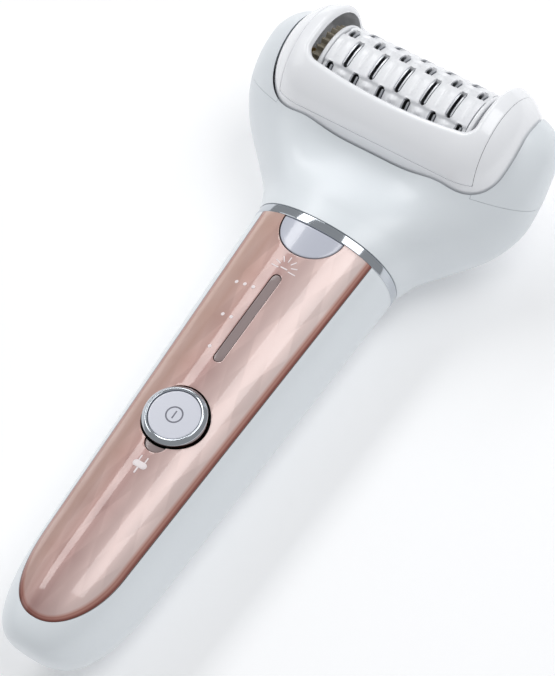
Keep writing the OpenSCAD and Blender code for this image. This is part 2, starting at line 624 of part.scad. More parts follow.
module lay_shaft() color(steel)
    rod_x(lay_shaft_r, gear_x0 - gear_w - 1.3, -pinion_r - 0.9, crown_y, drive_z);
module lay_gear() color([0.85, 0.8, 0.65])
    spur_x(lay_teeth, crown_y, drive_z, gear_x0 - gear_w, gear_w, lay_turn, lay_shaft_r + 0.01);
module idler_gear() color([0.85, 0.8, 0.65])
    spur_x(idler_teeth, idler_y, idler_z, gear_x0 - gear_w, gear_w, idler_turn, pin_r + run_gap);
module idler_pin() color(steel) rod_x(pin_r, gear_x0 - gear_w - 1.5, gear_x0 + 0.2, idler_y, idler_z);
bracket_x = gear_x0 - gear_w - 0.3;
bar_y = crown_y - 4.6;
bar_z = drive_z + lay_r + 1.9;  // the bracket's cross bar passes in front of the lay gear
module bracket_plate(x1, w, far) {
    translate([x1 - w, 0, 0]) rotate([90, 0, 90]) linear_extrude(w) difference() {
        union() {
            translate([crown_y, drive_z]) circle(r = 2.2, $fn = 48);
            if (far) {
                translate([idler_y, idler_z]) circle(r = 2.4, $fn = 48);
                translate([crown_y, drive_z]) rotate(lay_to_idler) translate([0, -2]) square([side_b, 4]);
            }
            translate([bar_y, drive_z - 1.6]) square([crown_y - bar_y, 3.2]);
        }
        translate([crown_y, drive_z]) circle(r = lay_shaft_r + run_gap, $fn = 48);
        if (far) translate([idler_y, idler_z]) circle(r = pin_r + 0.01, $fn = 48);
    }
}
// One-piece bearing bracket: an outer plate for the idler, an inner plate for the crown
module gear_bracket() color(white * 0.8) {
    bracket_plate(bracket_x, 1.2, true);
    bracket_plate(-9.5, 2, false);
    translate([bracket_x - 1.2, bar_y, bar_z]) cube([-9.5 - bracket_x + 1.2, 2.2, 2]);
    translate([bracket_x - 1.2, bar_y, drive_z]) cube([1.2, 2.2, bar_z - drive_z + 1]);
    translate([-11.5, bar_y, drive_z]) cube([2, 2.2, bar_z - drive_z + 1]);
}

// ---- drum -----------------------------------------------------------------
row_turn = 6;               // turn of the first tweezer row from the window's middle
plate_gap = plate_travel + 0.15;
module drum_axle() color(steel) rod_x(axle_r, -barrel_x - 2.8, barrel_x + 2.8);
module drum_core() color(white) difference() {
    rod_x(core_r, -drum_x - 1.1, drum_x + 1.1);
    rod_x(axle_r + run_gap, -60, 60);
}
function plate_x(i) = (i - (plate_count - 1) / 2) * plate_pitch;
// Rings of white pads between the tweezer plates
pad_w = plate_pitch - 2 * plate_t - plate_gap - 0.5;
module drum_pads() color(white) for (i = [0:plate_count]) on_axis()
    translate([0, 0, (i - plate_count / 2) * plate_pitch - pad_w / 2 + (i == 0 ? pad_w / 2 : 0)])
        difference() {
            union() {
                cylinder(r = drum_r - 0.35, h = i == 0 || i == plate_count ? pad_w / 2 : pad_w, $fn = 96);
                translate([0, 0, i == 0 || i == plate_count ? pad_w / 8 : pad_w / 5])
                    cylinder(r = drum_r, h = pad_w * (i == 0 || i == plate_count ? 0.25 : 0.6),
                        $fn = 96);
            }
            translate([0, 0, -1]) cylinder(r = core_r + 0.02, h = 9, $fn = 72);
        }
module drum_collars() color(white) for (s = [-1, 1]) difference() {
    rod_x(drum_r - 0.2, s > 0 ? drum_x + 0.1 : -drum_x - 1.1, s > 0 ? drum_x + 1.1 : -drum_x - 0.1);
    rod_x(core_r + 0.02, -60, 60);
}
module drum_gear() color([0.62, 0.58, 0.5])
    spur_x(drum_teeth, axis_y, axis_z, gear_x0 - gear_w, gear_w, drum_turn, axle_r + run_gap);
// A steel plate with six gripping lobes
module plate(turn) difference() {
    union() {
        cylinder(r = drum_r - 1.3, h = plate_t, $fn = 72);
        for (j = [0:5]) rotate(turn + 60 * j) translate([drum_r - 3, -2.2, 0]) cube([2.9, 4.4, plate_t]);
    }
    translate([0, 0, -1]) cylinder(r = core_r + run_gap, h = 3, $fn = 72);
}
module fixed_tweezers() color(steel) for (i = [0:plate_count - 1]) on_axis()
    translate([0, 0, plate_x(i) - plate_t - plate_gap / 2]) plate(row_turn + 30 * (i % 2));
module moving_tweezers() color(steel) for (i = [0:plate_count - 1]) on_axis()
    translate([0, 0, plate_x(i) + plate_gap / 2]) plate(row_turn + 30 * (i % 2));

// ---- pivoting frame and window cap ----------------------------------------
seam = 109;                 // half angle that the window cap covers
function wall_profile() = concat(barrel_profile(0), [for (i = [len(barrel_profile(0)) - 1:-1:0])
    let(p = barrel_profile(0)[i], from = barrel_x - barrel_round - 0.6,
        past = max(0, abs(p[1]) - from))
    [max(2.3, p[0] - barrel_wall),
     sign(p[1]) * (abs(p[1]) - barrel_wall * past / (barrel_x - from))]]);
module barrel_part(from, to) on_axis() rotate([0, 0, from]) rotate_extrude(angle = to - from, $fn = 96)
    polygon(wall_profile());
module between_ears(half) translate([-half, axis_y - 50, axis_z - 50]) cube([2 * half, 100, 100]);
cheek_x = barrel_x - 3.4;
module pivot_frame() color(white) difference() {
    union() {
        // back wall, and round ends that carry the pivot inside the ears
        difference() {
            barrel_part(0, 360);
            on_axis() rotate([0, 0, -seam - 0.4]) translate([0, 0, -ear_x - 0.05])
                rotate_extrude(angle = 2 * seam + 0.8, $fn = 96)
                    translate([1, 0]) square([20, 2 * ear_x + 0.1]);
        }
        for (s = [-1, 1]) on_axis() translate([0, 0, s * cheek_x - 0.75]) difference() {
            cylinder(r = barrel_rad(cheek_x + 2) - barrel_wall - 0.35, h = 1.5, $fn = 72);
            translate([0, 0, -1]) cylinder(r = axle_r + 1, h = 4, $fn = 48);
        }
        for (s = [-1, 1]) on_axis() rotate([0, 0, 180 - 30]) translate([0, 0, s * cheek_x - 0.75])
            rotate_extrude(angle = 60, $fn = 96)
                translate([5, 0]) square([barrel_rad(cheek_x + 0.75) - 5.3, 1.5]);
    }
    // slot for the idler and the bracket, wide enough for the swing
    translate([bracket_x - 1.9, axis_y, axis_z]) rotate([lay_dir - 46, 0, 0]) rotate([90, 0, 90])
        rotate_extrude(angle = 92, $fn = 96) translate([9, 0]) square([20, gear_w + 2.9]);
}
module pivot_bushes() color([0.8, 0.65, 0.3]) for (s = [-1, 1]) on_axis() translate([0, 0, s * cheek_x - 1])
    difference() {
        cylinder(r = axle_r + 0.98, h = 2, $fn = 48);
        translate([0, 0, -1]) cylinder(r = axle_r + run_gap, h = 4, $fn = 48);
    }
// The window: straight back edge, sides, and a front edge that bows outwards
module window_cap() color(white) difference() {
    intersection() {
        barrel_part(-seam, seam);
        between_ears(ear_x - 0.05);
    }
    on_axis() rotate([0, 0, -window_back]) translate([0, 0, -window_x])
        rotate_extrude(angle = window_front + window_back, $fn = 96)
            translate([8, 0]) square([12, 2 * window_x]);
}

handle_housing();
front_panel();
panel_carrier();
panel_gasket();
collar_ring();
neck_plate();
release_button();
release_stem();
release_spring();
power_button_ring();
power_button_cap();
button_seal();
charge_lamp();
lamp_bar();
light_guide();
circuit_board();
board_parts();
switch();
battery_cradle();
battery_cell();
battery_tabs();
motor_mount();
motor();
motor_shaft();
drive_dog();
shaft_seal();
charging_socket();
charging_pins();
cradle_screws();
head_shell();
left_ear();
right_ear();
head_base();
input_shaft();
input_pinion();
crown_gear();
lay_shaft();
lay_gear();
idler_gear();
idler_pin();
gear_bracket();
drum_axle();
drum_core();
drum_pads();
drum_collars();
drum_gear();
fixed_tweezers();
moving_tweezers();
pivot_frame();
pivot_bushes();
window_cap();
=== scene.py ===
# %% [markdown]
# A cordless epilator: a slim handle with a rose front panel, and a wide head in
# which a drum of steel tweezers spins behind a window. A working model of it,
# with its joints, is the frame. This script puts finer skins and finishes round
# that frame, and every size that the frame knows is read from it.
# %% The frame
import json
import math

import bmesh
import bpy
import numpy as np
from mathutils import Matrix, Vector

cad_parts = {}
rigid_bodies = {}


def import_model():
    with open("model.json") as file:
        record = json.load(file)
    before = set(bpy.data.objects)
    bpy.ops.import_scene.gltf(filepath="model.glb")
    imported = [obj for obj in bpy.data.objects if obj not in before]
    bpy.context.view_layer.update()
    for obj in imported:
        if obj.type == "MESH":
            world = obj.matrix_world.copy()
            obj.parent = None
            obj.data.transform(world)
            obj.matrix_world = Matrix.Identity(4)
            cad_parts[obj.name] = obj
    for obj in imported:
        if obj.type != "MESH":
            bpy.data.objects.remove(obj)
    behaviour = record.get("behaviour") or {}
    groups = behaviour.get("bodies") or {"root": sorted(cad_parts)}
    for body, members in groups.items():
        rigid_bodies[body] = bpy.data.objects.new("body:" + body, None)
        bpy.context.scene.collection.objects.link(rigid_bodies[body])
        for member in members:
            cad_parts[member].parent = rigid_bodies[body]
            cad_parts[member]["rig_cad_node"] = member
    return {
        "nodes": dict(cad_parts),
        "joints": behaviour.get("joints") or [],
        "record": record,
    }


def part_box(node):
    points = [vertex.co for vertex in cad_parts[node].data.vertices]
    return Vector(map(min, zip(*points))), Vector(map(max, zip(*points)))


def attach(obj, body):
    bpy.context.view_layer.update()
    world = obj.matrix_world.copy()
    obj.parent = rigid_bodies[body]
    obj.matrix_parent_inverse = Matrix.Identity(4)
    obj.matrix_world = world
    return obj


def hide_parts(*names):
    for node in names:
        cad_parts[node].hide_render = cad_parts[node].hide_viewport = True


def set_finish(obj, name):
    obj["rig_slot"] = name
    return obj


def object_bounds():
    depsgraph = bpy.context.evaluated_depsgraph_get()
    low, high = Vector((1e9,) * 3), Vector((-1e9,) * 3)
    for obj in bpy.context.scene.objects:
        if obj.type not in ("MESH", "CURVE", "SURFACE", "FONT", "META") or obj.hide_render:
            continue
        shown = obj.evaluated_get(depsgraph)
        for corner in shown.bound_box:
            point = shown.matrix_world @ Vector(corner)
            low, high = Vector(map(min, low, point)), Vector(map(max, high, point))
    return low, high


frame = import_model()
cad_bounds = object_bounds()
MM = 0.001
print("CAD box, mm:", [[round(c / MM, 2) for c in corner] for corner in cad_bounds])

# %% [markdown]
# Everything is worked out in millimetres and turned into metres when a mesh is
# made. The frame gives the handle's box, the drum's axis and the window's tilt.
# The squareness of the ovals isn't in any box, so it is named here.
# %% Sizes from the frame
def corners(node):
    """A CAD node's lowest and highest corners, in millimetres."""
    low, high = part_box(node)
    return np.array(low) / MM, np.array(high) / MM


housing_low, housing_high = corners("handle_housing")
ring_y = housing_high[1]
handle_len = ring_y - housing_low[1]
handle_half = housing_high[0]
handle_t = corners("front_panel")[1][2]
joints = {joint["name"]: joint for joint in frame["joints"]}
axis_y = joints["drum_spin"]["pos_m"][1] / MM
axis_z = joints["drum_spin"]["pos_m"][2] / MM
lift = joints["cap_lift"]["axis"]
tilt = math.atan2(lift[2], lift[1])
sec_n = 2.2             # squareness of the ovals
end_n = 2.47            # squareness of the handle's rounded end
end_round = 25.3        # length of the rounded end
end_half = 12.3         # half width that the handle's sides taper to
tip_share = 0.71        # height of the tip, as a share of the handle's depth
rest_cut = 0.15         # how deep the flat strip on the back is cut
wall = 1.8
print("handle length", round(handle_len, 2), "drum axis", round(axis_y, 2), round(axis_z, 2))


# %% [markdown]
# Two small formulas carry most of the shapes. A superellipse is an ellipse with
# its power raised a little above two, which makes it slightly square, and a
# rounding is a quarter of one, running from 1 down to 0.
# %% Ovals and roundings
def signed_power(v, p):
    """The size of v raised to the power p, with v's sign."""
    return np.sign(v) * np.abs(v) ** p


def oval(t, n=sec_n):
    """Unit superellipse: cos and sin of t, each to the power two over n."""
    return signed_power(np.cos(t), 2 / n), signed_power(np.sin(t), 2 / n)


def rounding(t, n):
    """Quarter superellipse: one minus t to the n, to the power one over n."""
    return (1 - np.clip(t, 0, 1) ** n) ** (1 / n)


def handle_section(y):
    """Half width, centre height and half depth of the handle's oval at y.
    The width tapers in a line, and both shrink with the end's rounding."""
    k = rounding((ring_y - y - (handle_len - end_round)) / end_round, end_n)
    a = (handle_half + (end_half - handle_half) * (ring_y - y) / handle_len) * k ** 0.75
    top = handle_t * (tip_share + (1 - tip_share) * k)
    low = handle_t * tip_share * (1 - k) - rest_cut * k
    return a, (top + low) / 2, (top - low) / 2


def front_z(x, y, under=0.0):
    """Height of the handle's front at (x, y), a depth under it."""
    a, mid, b = handle_section(y)
    across = np.abs(x) / np.maximum(a - under, 0.01)
    return mid + (b - under) * rounding(across, sec_n)


# %% [markdown]
# Each piece starts as a grid of points: rows along one parameter and columns
# along the other. The same helpers join a grid into quads, weld its seams and
# poles, and turn its faces outwards, so that a piece's own function only has
# to say where its points lie.
# %% Grids and pieces
def quads(rows, cols, wrap_rows=False, wrap_cols=False):
    """The quads of a grid of points, each as four point numbers."""
    i = np.arange(rows if wrap_rows else rows - 1)[:, None]
    j = np.arange(cols if wrap_cols else cols - 1)[None, :]
    i2, j2 = (i + 1) % rows, (j + 1) % cols
    return np.stack([i * cols + j, i * cols + j2, i2 * cols + j2, i2 * cols + j], -1).reshape(-1, 4)


def grid(points, wrap_rows=False, wrap_cols=False):
    """A grid of points with shape (rows, columns, 3) as flat points and quads."""
    rows, cols = points.shape[:2]
    return points.reshape(-1, 3), quads(rows, cols, wrap_rows, wrap_cols)


def joined(parts):
    """Several (points, quads) pairs as one."""
    points, faces, start = [], [], 0
    for p, q in parts:
        points.append(p)
        faces.append(q + start)
        start += len(p)
    return np.concatenate(points), np.concatenate(faces)


def make_mesh(name, part, fill=False):
    """A mesh object from a (points, quads) pair, welded and facing outwards.
    fill closes open ends with flat faces."""
    points, faces = part
    mesh = bpy.data.meshes.new(name)
    mesh.from_pydata((points * MM).tolist(), [], faces.tolist())
    bm = bmesh.new()
    bm.from_mesh(mesh)
    bmesh.ops.remove_doubles(bm, verts=bm.verts, dist=2e-6)
    bmesh.ops.dissolve_degenerate(bm, edges=bm.edges, dist=1e-6)
    if fill:
        bmesh.ops.holes_fill(bm, edges=bm.edges, sides=0)
    bmesh.ops.recalc_face_normals(bm, faces=bm.faces)
    bm.to_mesh(mesh)
    bm.free()
    mesh.shade_smooth()
    obj = bpy.data.objects.new(name, mesh)
    bpy.context.scene.collection.objects.link(obj)
    return obj


def apply_all(obj, sharp=35):
    """Bakes the modifiers into the mesh, and keeps edges above an angle sharp."""
    view = bpy.context.view_layer
    view.update()
    mesh = bpy.data.meshes.new_from_object(obj.evaluated_get(bpy.context.evaluated_depsgraph_get()))
    obj.modifiers.clear()
    old, obj.data = obj.data, mesh
    bpy.data.meshes.remove(old)
    mesh.shade_smooth()
    mesh.set_sharp_from_angle(angle=math.radians(sharp))
    return obj


def cut(obj, cutters, operation="DIFFERENCE"):
    """Boolean modifiers, one for each cutter."""
    for cutter in cutters:
        modifier = obj.modifiers.new("cut", "BOOLEAN")
        modifier.operation = operation
        modifier.solver = "EXACT"
        modifier.object = cutter


def bevel(obj, width, segments=2, angle=40):
    """A small round on every edge sharper than an angle."""
    modifier = obj.modifiers.new("round", "BEVEL")
    modifier.width = width * MM
    modifier.segments = segments
    modifier.limit_method = "ANGLE"
    modifier.angle_limit = math.radians(angle)
    modifier.use_clamp_overlap = True


def shell(obj, thickness):
    """Gives a sheet a wall, inwards."""
    modifier = obj.modifiers.new("wall", "SOLIDIFY")
    modifier.thickness = thickness * MM
    modifier.offset = -1
    modifier.use_even_offset = True


def drop(*objs):
    """Removes helpers that have done their cutting."""
    for obj in objs:
        bpy.data.objects.remove(obj)


slot_of = {row["node"]: row["material_slot"] for row in frame["record"]["subparts"]}
body_of = {}
for body_name, members in frame["record"]["behaviour"]["bodies"].items():
    for member in members:
        body_of[member] = body_name


def measure(obj):
    """Prints a piece's face count and its box in millimetres."""
    flat = np.empty(len(obj.data.vertices) * 3)
    obj.data.vertices.foreach_get("co", flat)
    places = flat.reshape(-1, 3) / MM
    print(obj.name, len(obj.data.polygons), "faces", places.min(0).round(2), places.max(0).round(2))


def settle(obj, *nodes):
    """Puts a finished piece in place of its CAD nodes, on their body and slot."""
    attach(obj, body_of[nodes[0]])
    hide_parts(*nodes)
    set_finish(obj, slot_of[nodes[0]])
    measure(obj)
    return obj


def box_block(low, high, turn=None):
    """The eight corners and six faces of a block, in mm, turned by a matrix."""
    pick = np.array([[(i >> 2) & 1, (i >> 1) & 1, i & 1] for i in range(8)], float)
    points = np.array(low) + pick * (np.array(high) - np.array(low))
    if turn is not None:
        points = points @ turn[0].T + turn[1]
    faces = np.array([[0, 1, 3, 2], [4, 6, 7, 5], [0, 4, 5, 1], [2, 3, 7, 6], [0, 2, 6, 4], [1, 5, 7, 3]])
    return points, faces


def prism(outline, z0, z1):
    """A closed outline of (x, y) points carried from height z0 to z1."""
    rows = [np.column_stack([outline, np.full(len(outline), z)]) for z in (z0, z1)]
    return grid(np.array(rows), wrap_cols=True)


def circle(r, x=0.0, y=0.0, count=96):
    """Outline of a circle."""
    t = np.linspace(0, 2 * np.pi, count, endpoint=False)
    return np.column_stack([x + r * np.cos(t), y + r * np.sin(t)])


def stadium(start, end, r, count=24):
    """Outline of a slot: two half circles of radius r round start and end."""
    start, end = np.array(start, float), np.array(end, float)
    turn = math.atan2(*(end - start)[::-1])
    t = np.linspace(-np.pi / 2, np.pi / 2, count) + turn
    half = np.column_stack([np.cos(t), np.sin(t)]) * r
    return np.concatenate([end + half, start - half])


# %% [markdown]
# The housing is one oval tube that tapers and closes in a rounded end. Its front
# is open where the panel lies. So each row runs from the panel's right edge round
# the back to its left edge, and below the panel the row closes at the middle.
# The inner side is the same grid drawn in, and strips join the two at the open
# edges. Then the charging recess is cut into the end.
# %% Panel outline and housing
panel_low, panel_high = corners("front_panel")
panel_half_top = panel_high[0]
panel_taper = 0.042
panel_len = ring_y - panel_low[1]
panel_round = 17.0
panel_gap = 0.12


def panel_half(y):
    """Half width of the panel at y: a straight taper, closed by a rounding."""
    t = (ring_y - y - (panel_len - panel_round)) / panel_round
    return (panel_half_top - panel_taper * (ring_y - y)) * rounding(t, 2.2)


def handle_rows(straight=70, end=44, tip=16):
    """Places along the handle: even down to the panel's rounded end, then
    crowding towards the panel's end, then towards the tip."""
    y1 = ring_y - panel_len
    even = np.linspace(ring_y, y1 + panel_round, straight)
    curve = y1 + panel_round * (1 - np.sin(np.linspace(0, np.pi / 2, end)))
    first = math.asin(1 - (y1 - (ring_y - handle_len)) / end_round)
    last = ring_y - handle_len + end_round * (1 - np.sin(np.linspace(first, np.pi / 2, tip)))
    return even, curve[1:], last[1:]


def housing_points(inset, columns=150):
    """Oval rows round the back, from one edge of the panel to the other.
    The inner side is drawn in by the wall across, and shortened by it at the tip."""
    y = np.concatenate(handle_rows())[:, None]
    a, mid, b = handle_section(y)
    half = panel_half(y)
    half = np.where(half > 0, half + panel_gap, 0)
    edge = np.arccos(np.clip(half / np.maximum(a, 1e-6), 0, 1) ** (sec_n / 2))
    t = edge - np.linspace(0, 1, columns)[None, :] * (2 * edge + np.pi)
    ox, oz = oval(t)
    z = np.maximum(mid + b * oz, 0.0) - mid
    y = ring_y - (ring_y - y) * (1 - inset / handle_len)
    return np.stack([a * ox * (1 - inset / handle_half), np.broadcast_to(y, ox.shape),
                     mid + z * (1 - inset * 2 / handle_t)], -1)


def housing_part():
    """Outer and inner sheets, with strips along the panel's edges and the top."""
    outer, inner = housing_points(0.0), housing_points(wall)
    side_strips = [grid(np.stack([outer[:, k], inner[:, k]], 1)) for k in (0, -1)]
    keep = len(handle_rows()[0]) + len(handle_rows()[1]) - 1
    side_strips = [(points, faces[:keep]) for points, faces in side_strips]
    top_strip = grid(np.stack([outer[0], inner[0]], 1))
    return joined([grid(outer), grid(inner), *side_strips, top_strip])


housing = make_mesh("housing_skin", housing_part())
socket_low, socket_high = corners("charging_socket")
recess_grow = 0.1
recess = make_mesh("recess", box_block(
    [socket_low[0] - recess_grow, ring_y - handle_len - 2, socket_low[2] - recess_grow],
    [socket_high[0] + recess_grow, socket_high[1], socket_high[2] + recess_grow]))
bevel(recess, 1.2, 4)
cut(housing, [recess])
apply_all(housing, 50)
bevel(housing, 0.18, 2, 50)
apply_all(housing, 40)
drop(recess)
settle(housing, "handle_housing")


# %% [markdown]
# The front panel is a clear rose plate over a patterned film. It follows the
# oval, so its grid is only a width and a length laid on the housing's front.
# A second value, how far each point lies from the panel's rim, goes into a UV
# map, because the plate looks darker there. The holes are cut afterwards.
# %% Front panel
panel_t = 1.15


def panel_points(columns=64):
    """Rows across the panel, each as wide as the panel is there."""
    y = np.concatenate(handle_rows()[:2])[:, None]
    x = np.linspace(-1, 1, columns)[None, :] * panel_half(y)
    y = np.broadcast_to(y, x.shape)
    return np.stack([x, y, front_z(x, y)], -1)


def rim_distance(points, count=600):
    """Distance in mm from each point to the panel's side and end outline."""
    y1 = ring_y - panel_len
    y = np.concatenate([np.linspace(ring_y + 5, y1 + panel_round, count),
                        y1 + panel_round * (1 - np.sin(np.linspace(0, np.pi / 2, count)))])
    half = panel_half(np.minimum(y, ring_y))
    outline = np.concatenate([np.column_stack([half, y]), np.column_stack([-half, y])])
    gaps = points[:, None, :2] - outline[None]
    return np.sqrt((gaps ** 2).sum(-1)).min(1)


panel = make_mesh("panel_gloss", grid(panel_points()))
mesh = panel.data
flat = np.empty(len(mesh.vertices) * 3)
mesh.vertices.foreach_get("co", flat)
places = flat.reshape(-1, 3) / MM
corner_points = np.empty(len(mesh.loops), int)
mesh.loops.foreach_get("vertex_index", corner_points)
rim = rim_distance(places)
uv = np.column_stack([rim / 10, (ring_y - places[:, 1]) / panel_len])[corner_points]
mesh.uv_layers.new(name="rim").data.foreach_set("uv", uv.ravel())
up = np.array([p.normal.z for p in mesh.polygons]).mean()
if up < 0:
    mesh.flip_normals()
shell(panel, panel_t)

bezel_low, bezel_high = corners("power_button_ring")
bar_low, bar_high = corners("lamp_bar")
release_high = corners("release_button")[1]
lobe_low, lobe_high = corners("charge_lamp")
bezel_r = bezel_high[0]
bar_r = bar_high[0]
release_r = release_high[0]
lobe_r = lobe_high[0]
lobe_y = lobe_low[1] + lobe_r
hole_gap = 0.45
hole_outlines = [
    circle(bezel_r + hole_gap),
    circle(lobe_r + 0.15, 0, lobe_y),
    stadium((0, bar_low[1] + bar_r), (0, bar_high[1] - bar_r), bar_r + 0.12),
    circle(release_r + 0.25, 0, ring_y)]
panel_cuts = [make_mesh(f"hole_{i}", prism(outline, handle_t / 2, handle_t * 2), fill=True)
              for i, outline in enumerate(hole_outlines)]
cut(panel, panel_cuts)
apply_all(panel, 50)
bevel(panel, 0.22, 2, 50)
apply_all(panel, 40)
drop(*panel_cuts)
settle(panel, "front_panel")


# %% [markdown]
# Buttons and lamps are low blocks over a closed outline. Rings of points shrink
# from the outline to its centre, and the edge turns down on a quarter circle.
# One function makes them all: the top can be flat, domed or follow the handle.
# %% Low blocks with rounded rims
def pill(outline, centre, top, depth, rim=0.3, rings=12, turns=5):
    """Rings of points over an outline: the wall rises from a depth, the rim turns
    in on a quarter circle, and the top runs to the centre at height top(x, y)."""
    centre = np.array(centre, float)
    ray = outline - centre
    reach = np.linalg.norm(ray, axis=1, keepdims=True)
    q = np.linspace(0, np.pi / 2, turns)
    inset = np.concatenate([[0.0], rim * (1 - np.cos(q))])
    down = np.concatenate([[depth], rim * (1 - np.sin(q))])
    flat_xy = [centre + ray * (1 - i / reach) for i in inset]
    flat_xy += [centre + ray * (1 - rim / reach) * (1 - s) for s in np.linspace(0, 1, rings)[1:]]
    down = np.concatenate([down, np.zeros(rings - 1)])
    flat_xy = np.array([np.broadcast_to(centre, outline.shape)] + flat_xy)
    down = np.concatenate([[depth], down])
    z = top(flat_xy[..., 0], flat_xy[..., 1]) - down[:, None]
    return grid(np.concatenate([flat_xy, z[..., None]], -1), wrap_cols=True)


def turned(profile, centre=(0.0, 0.0), count=128):
    """A closed profile of (radius, height) points turned about a vertical axis."""
    t = np.linspace(0, 2 * np.pi, count, endpoint=False)
    r, z = np.array(profile, float).T
    x = centre[0] + r[:, None] * np.cos(t)
    y = centre[1] + r[:, None] * np.sin(t)
    return grid(np.stack([x, y, np.broadcast_to(z[:, None], x.shape)], -1), wrap_rows=True, wrap_cols=True)


def arc(cx, cy, r, a0, a1, count=7):
    """Points of a circular arc, from angle a0 to a1 in degrees."""
    t = np.radians(np.linspace(a0, a1, count))
    return np.column_stack([cx + r * np.cos(t), cy + r * np.sin(t)])


# %% [markdown]
# The power button is a chrome bezel round a pearl disc. The bezel's profile is a
# sloped, rounded ring, which catches a bright line all round. A fine groove
# parts it from the disc.
# %% Power button
cap_r = corners("power_button_cap")[1][0]
button_top = bezel_high[2]
bezel_profile = np.concatenate([
    [[cap_r + 0.06, bezel_low[2]], [bezel_r, bezel_low[2]]],
    arc(bezel_r - 0.35, button_top - 0.95, 0.35, 0, 45),
    arc(bezel_r - 0.95, button_top - 0.45, 0.45, 50, 90),
    arc(cap_r + 0.21, button_top - 0.2, 0.15, 90, 180, 5)])
bezel = make_mesh("power_bezel", turned(bezel_profile))
bezel.data.set_sharp_from_angle(angle=math.radians(50))
settle(bezel, "power_button_ring")

cap_low = corners("power_button_cap")[0]
face_profile = np.concatenate([
    [[0.001, cap_low[2]], [1.6, cap_low[2]], [1.6, button_top - 2.6], [cap_r - 0.05, button_top - 2.6]],
    arc(cap_r - 0.3, button_top - 0.55, 0.25, 0, 90, 5),
    np.column_stack([np.linspace(cap_r - 0.5, 0.001, 12),
                     button_top - 0.3 + 0.05 * np.cos(np.linspace(np.pi / 2, 0, 12))])])
face = make_mesh("power_face", turned(face_profile))
face.data.set_sharp_from_angle(angle=math.radians(50))
settle(face, "power_button_cap")

# %% [markdown]
# The lamp bar, the charge lamp and the release button are all low blocks. The
# release button is a half disc that follows the handle's curve, so its top is
# the handle's front, a hair lower.
# %% Lamps and release button
bar_outline = stadium((0, bar_low[1] + bar_r), (0, bar_high[1] - bar_r), bar_r, 32)
bar = make_mesh("lamp_window", pill(bar_outline, (0, (bar_low[1] + bar_high[1]) / 2),
                                    lambda x, y: front_z(x * 0, y) - 0.08, 1.8, 0.2, 8))
settle(bar, "lamp_bar")

lobe_out = circle(lobe_r, 0, lobe_y, 64)
away = np.linalg.norm(lobe_out, axis=1, keepdims=True)
lobe_out = np.where(away < bezel_r + 0.46, lobe_out / away * (bezel_r + 0.46), lobe_out)
lobe = make_mesh("charge_window", pill(lobe_out, (0, lobe_low[1] + 0.9),
                                       lambda x, y: front_z(x, y) - 0.3, 1.8, 0.15, 6))
settle(lobe, "charge_lamp")

release_y = ring_y - 0.12
bow = np.radians(np.linspace(180, 360, 65))
release_out = np.column_stack([release_r * np.cos(bow), release_y + release_r * np.sin(bow) * 0.98])
chord = np.column_stack([np.linspace(release_r, -release_r, 24)[1:-1], np.full(22, release_y)])
release_out = np.concatenate([release_out, chord])
release = make_mesh("release_key", pill(release_out, (0, release_y - 2.6),
                                        lambda x, y: front_z(x, np.minimum(y, ring_y)) - 0.04,
                                        1.5, 0.3, 14))
release.data.set_sharp_from_angle(angle=math.radians(50))
settle(release, "release_button")


# %% [markdown]
# The collar is a bright oval ring with softened edges. A small closed profile is
# carried round the handle's oval: each profile point says how far in from the
# oval it lies and how high up the handle.
# %% Collar ring
collar_low, collar_high = corners("collar_ring")


def carried_round(profile, a, b, mid, count=220):
    """A closed profile of (inset, y) points carried round an oval in X and Z."""
    inset, y = np.array(profile, float).T
    ox, oz = oval(np.linspace(0, 2 * np.pi, count, endpoint=False))
    x = (a - inset[:, None]) * ox
    z = mid + (b - inset[:, None]) * oz
    return grid(np.stack([x, np.broadcast_to(y[:, None], x.shape), z], -1), wrap_rows=True, wrap_cols=True)


y0, y1 = collar_low[1], collar_high[1]
edge_r = 0.28
collar_profile = np.concatenate([
    [[wall - 0.1, y0], [edge_r + 0.3, y0]],
    np.column_stack([edge_r * (1 - np.sin(np.linspace(0, np.pi / 2, 6))),
                     y0 + edge_r * (1 - np.cos(np.linspace(0, np.pi / 2, 6)))]),
    np.column_stack([edge_r * (1 - np.cos(np.linspace(0, np.pi / 2, 6))),
                     y1 - edge_r * (1 - np.sin(np.linspace(0, np.pi / 2, 6)))]),
    [[wall - 0.1, y1]]])
collar_half = (collar_high[2] - collar_low[2]) / 2
collar_mid = (collar_high[2] + collar_low[2]) / 2
collar = make_mesh("collar_band", carried_round(collar_profile, collar_high[0], collar_half, collar_mid))
settle(collar, "collar_ring")

# %% [markdown]
# The head shell grows out of the collar as the same oval, widens to the two ears
# and closes in a rounded top. Its sections are named at ten stations, and a
# smooth cubic joins them, as a lofted surface in any modeller would.
# %% Head shell surface
base_y = corners("head_shell")[0][1]
shell_h = axis_y - base_y + 11.4 + 0.05
ear_half = 36.2
ear_round = 11.0
shell_wall = 2.0
dish = 3.8              # depth of the hollow under the window
dish_half = 14.5        # half width of that hollow
dish_from = 5           # how far up the head the hollow starts
dish_full = 18          # and where it reaches its full depth
stations = np.array([0, 0.12, 0.25, 0.38, 0.51, 0.64, 0.77, 0.89, 0.96, 1]) * shell_h
width_at = np.array([0.487, 0.56, 0.71, 0.87, 0.972, 1, 0.99, 0.965, 0.945, 0.93]) * ear_half
front_at = np.array([0.1, -0.2, 0.6, 2.4, 6.0, 9.5, 10.8, 9.8, 8.7, 8]) + handle_t
back_at = np.array([0.05, 0.1, 0.4, 1.5, 4.2, 8.2, 12.4, 15.6, 16.6, 17])


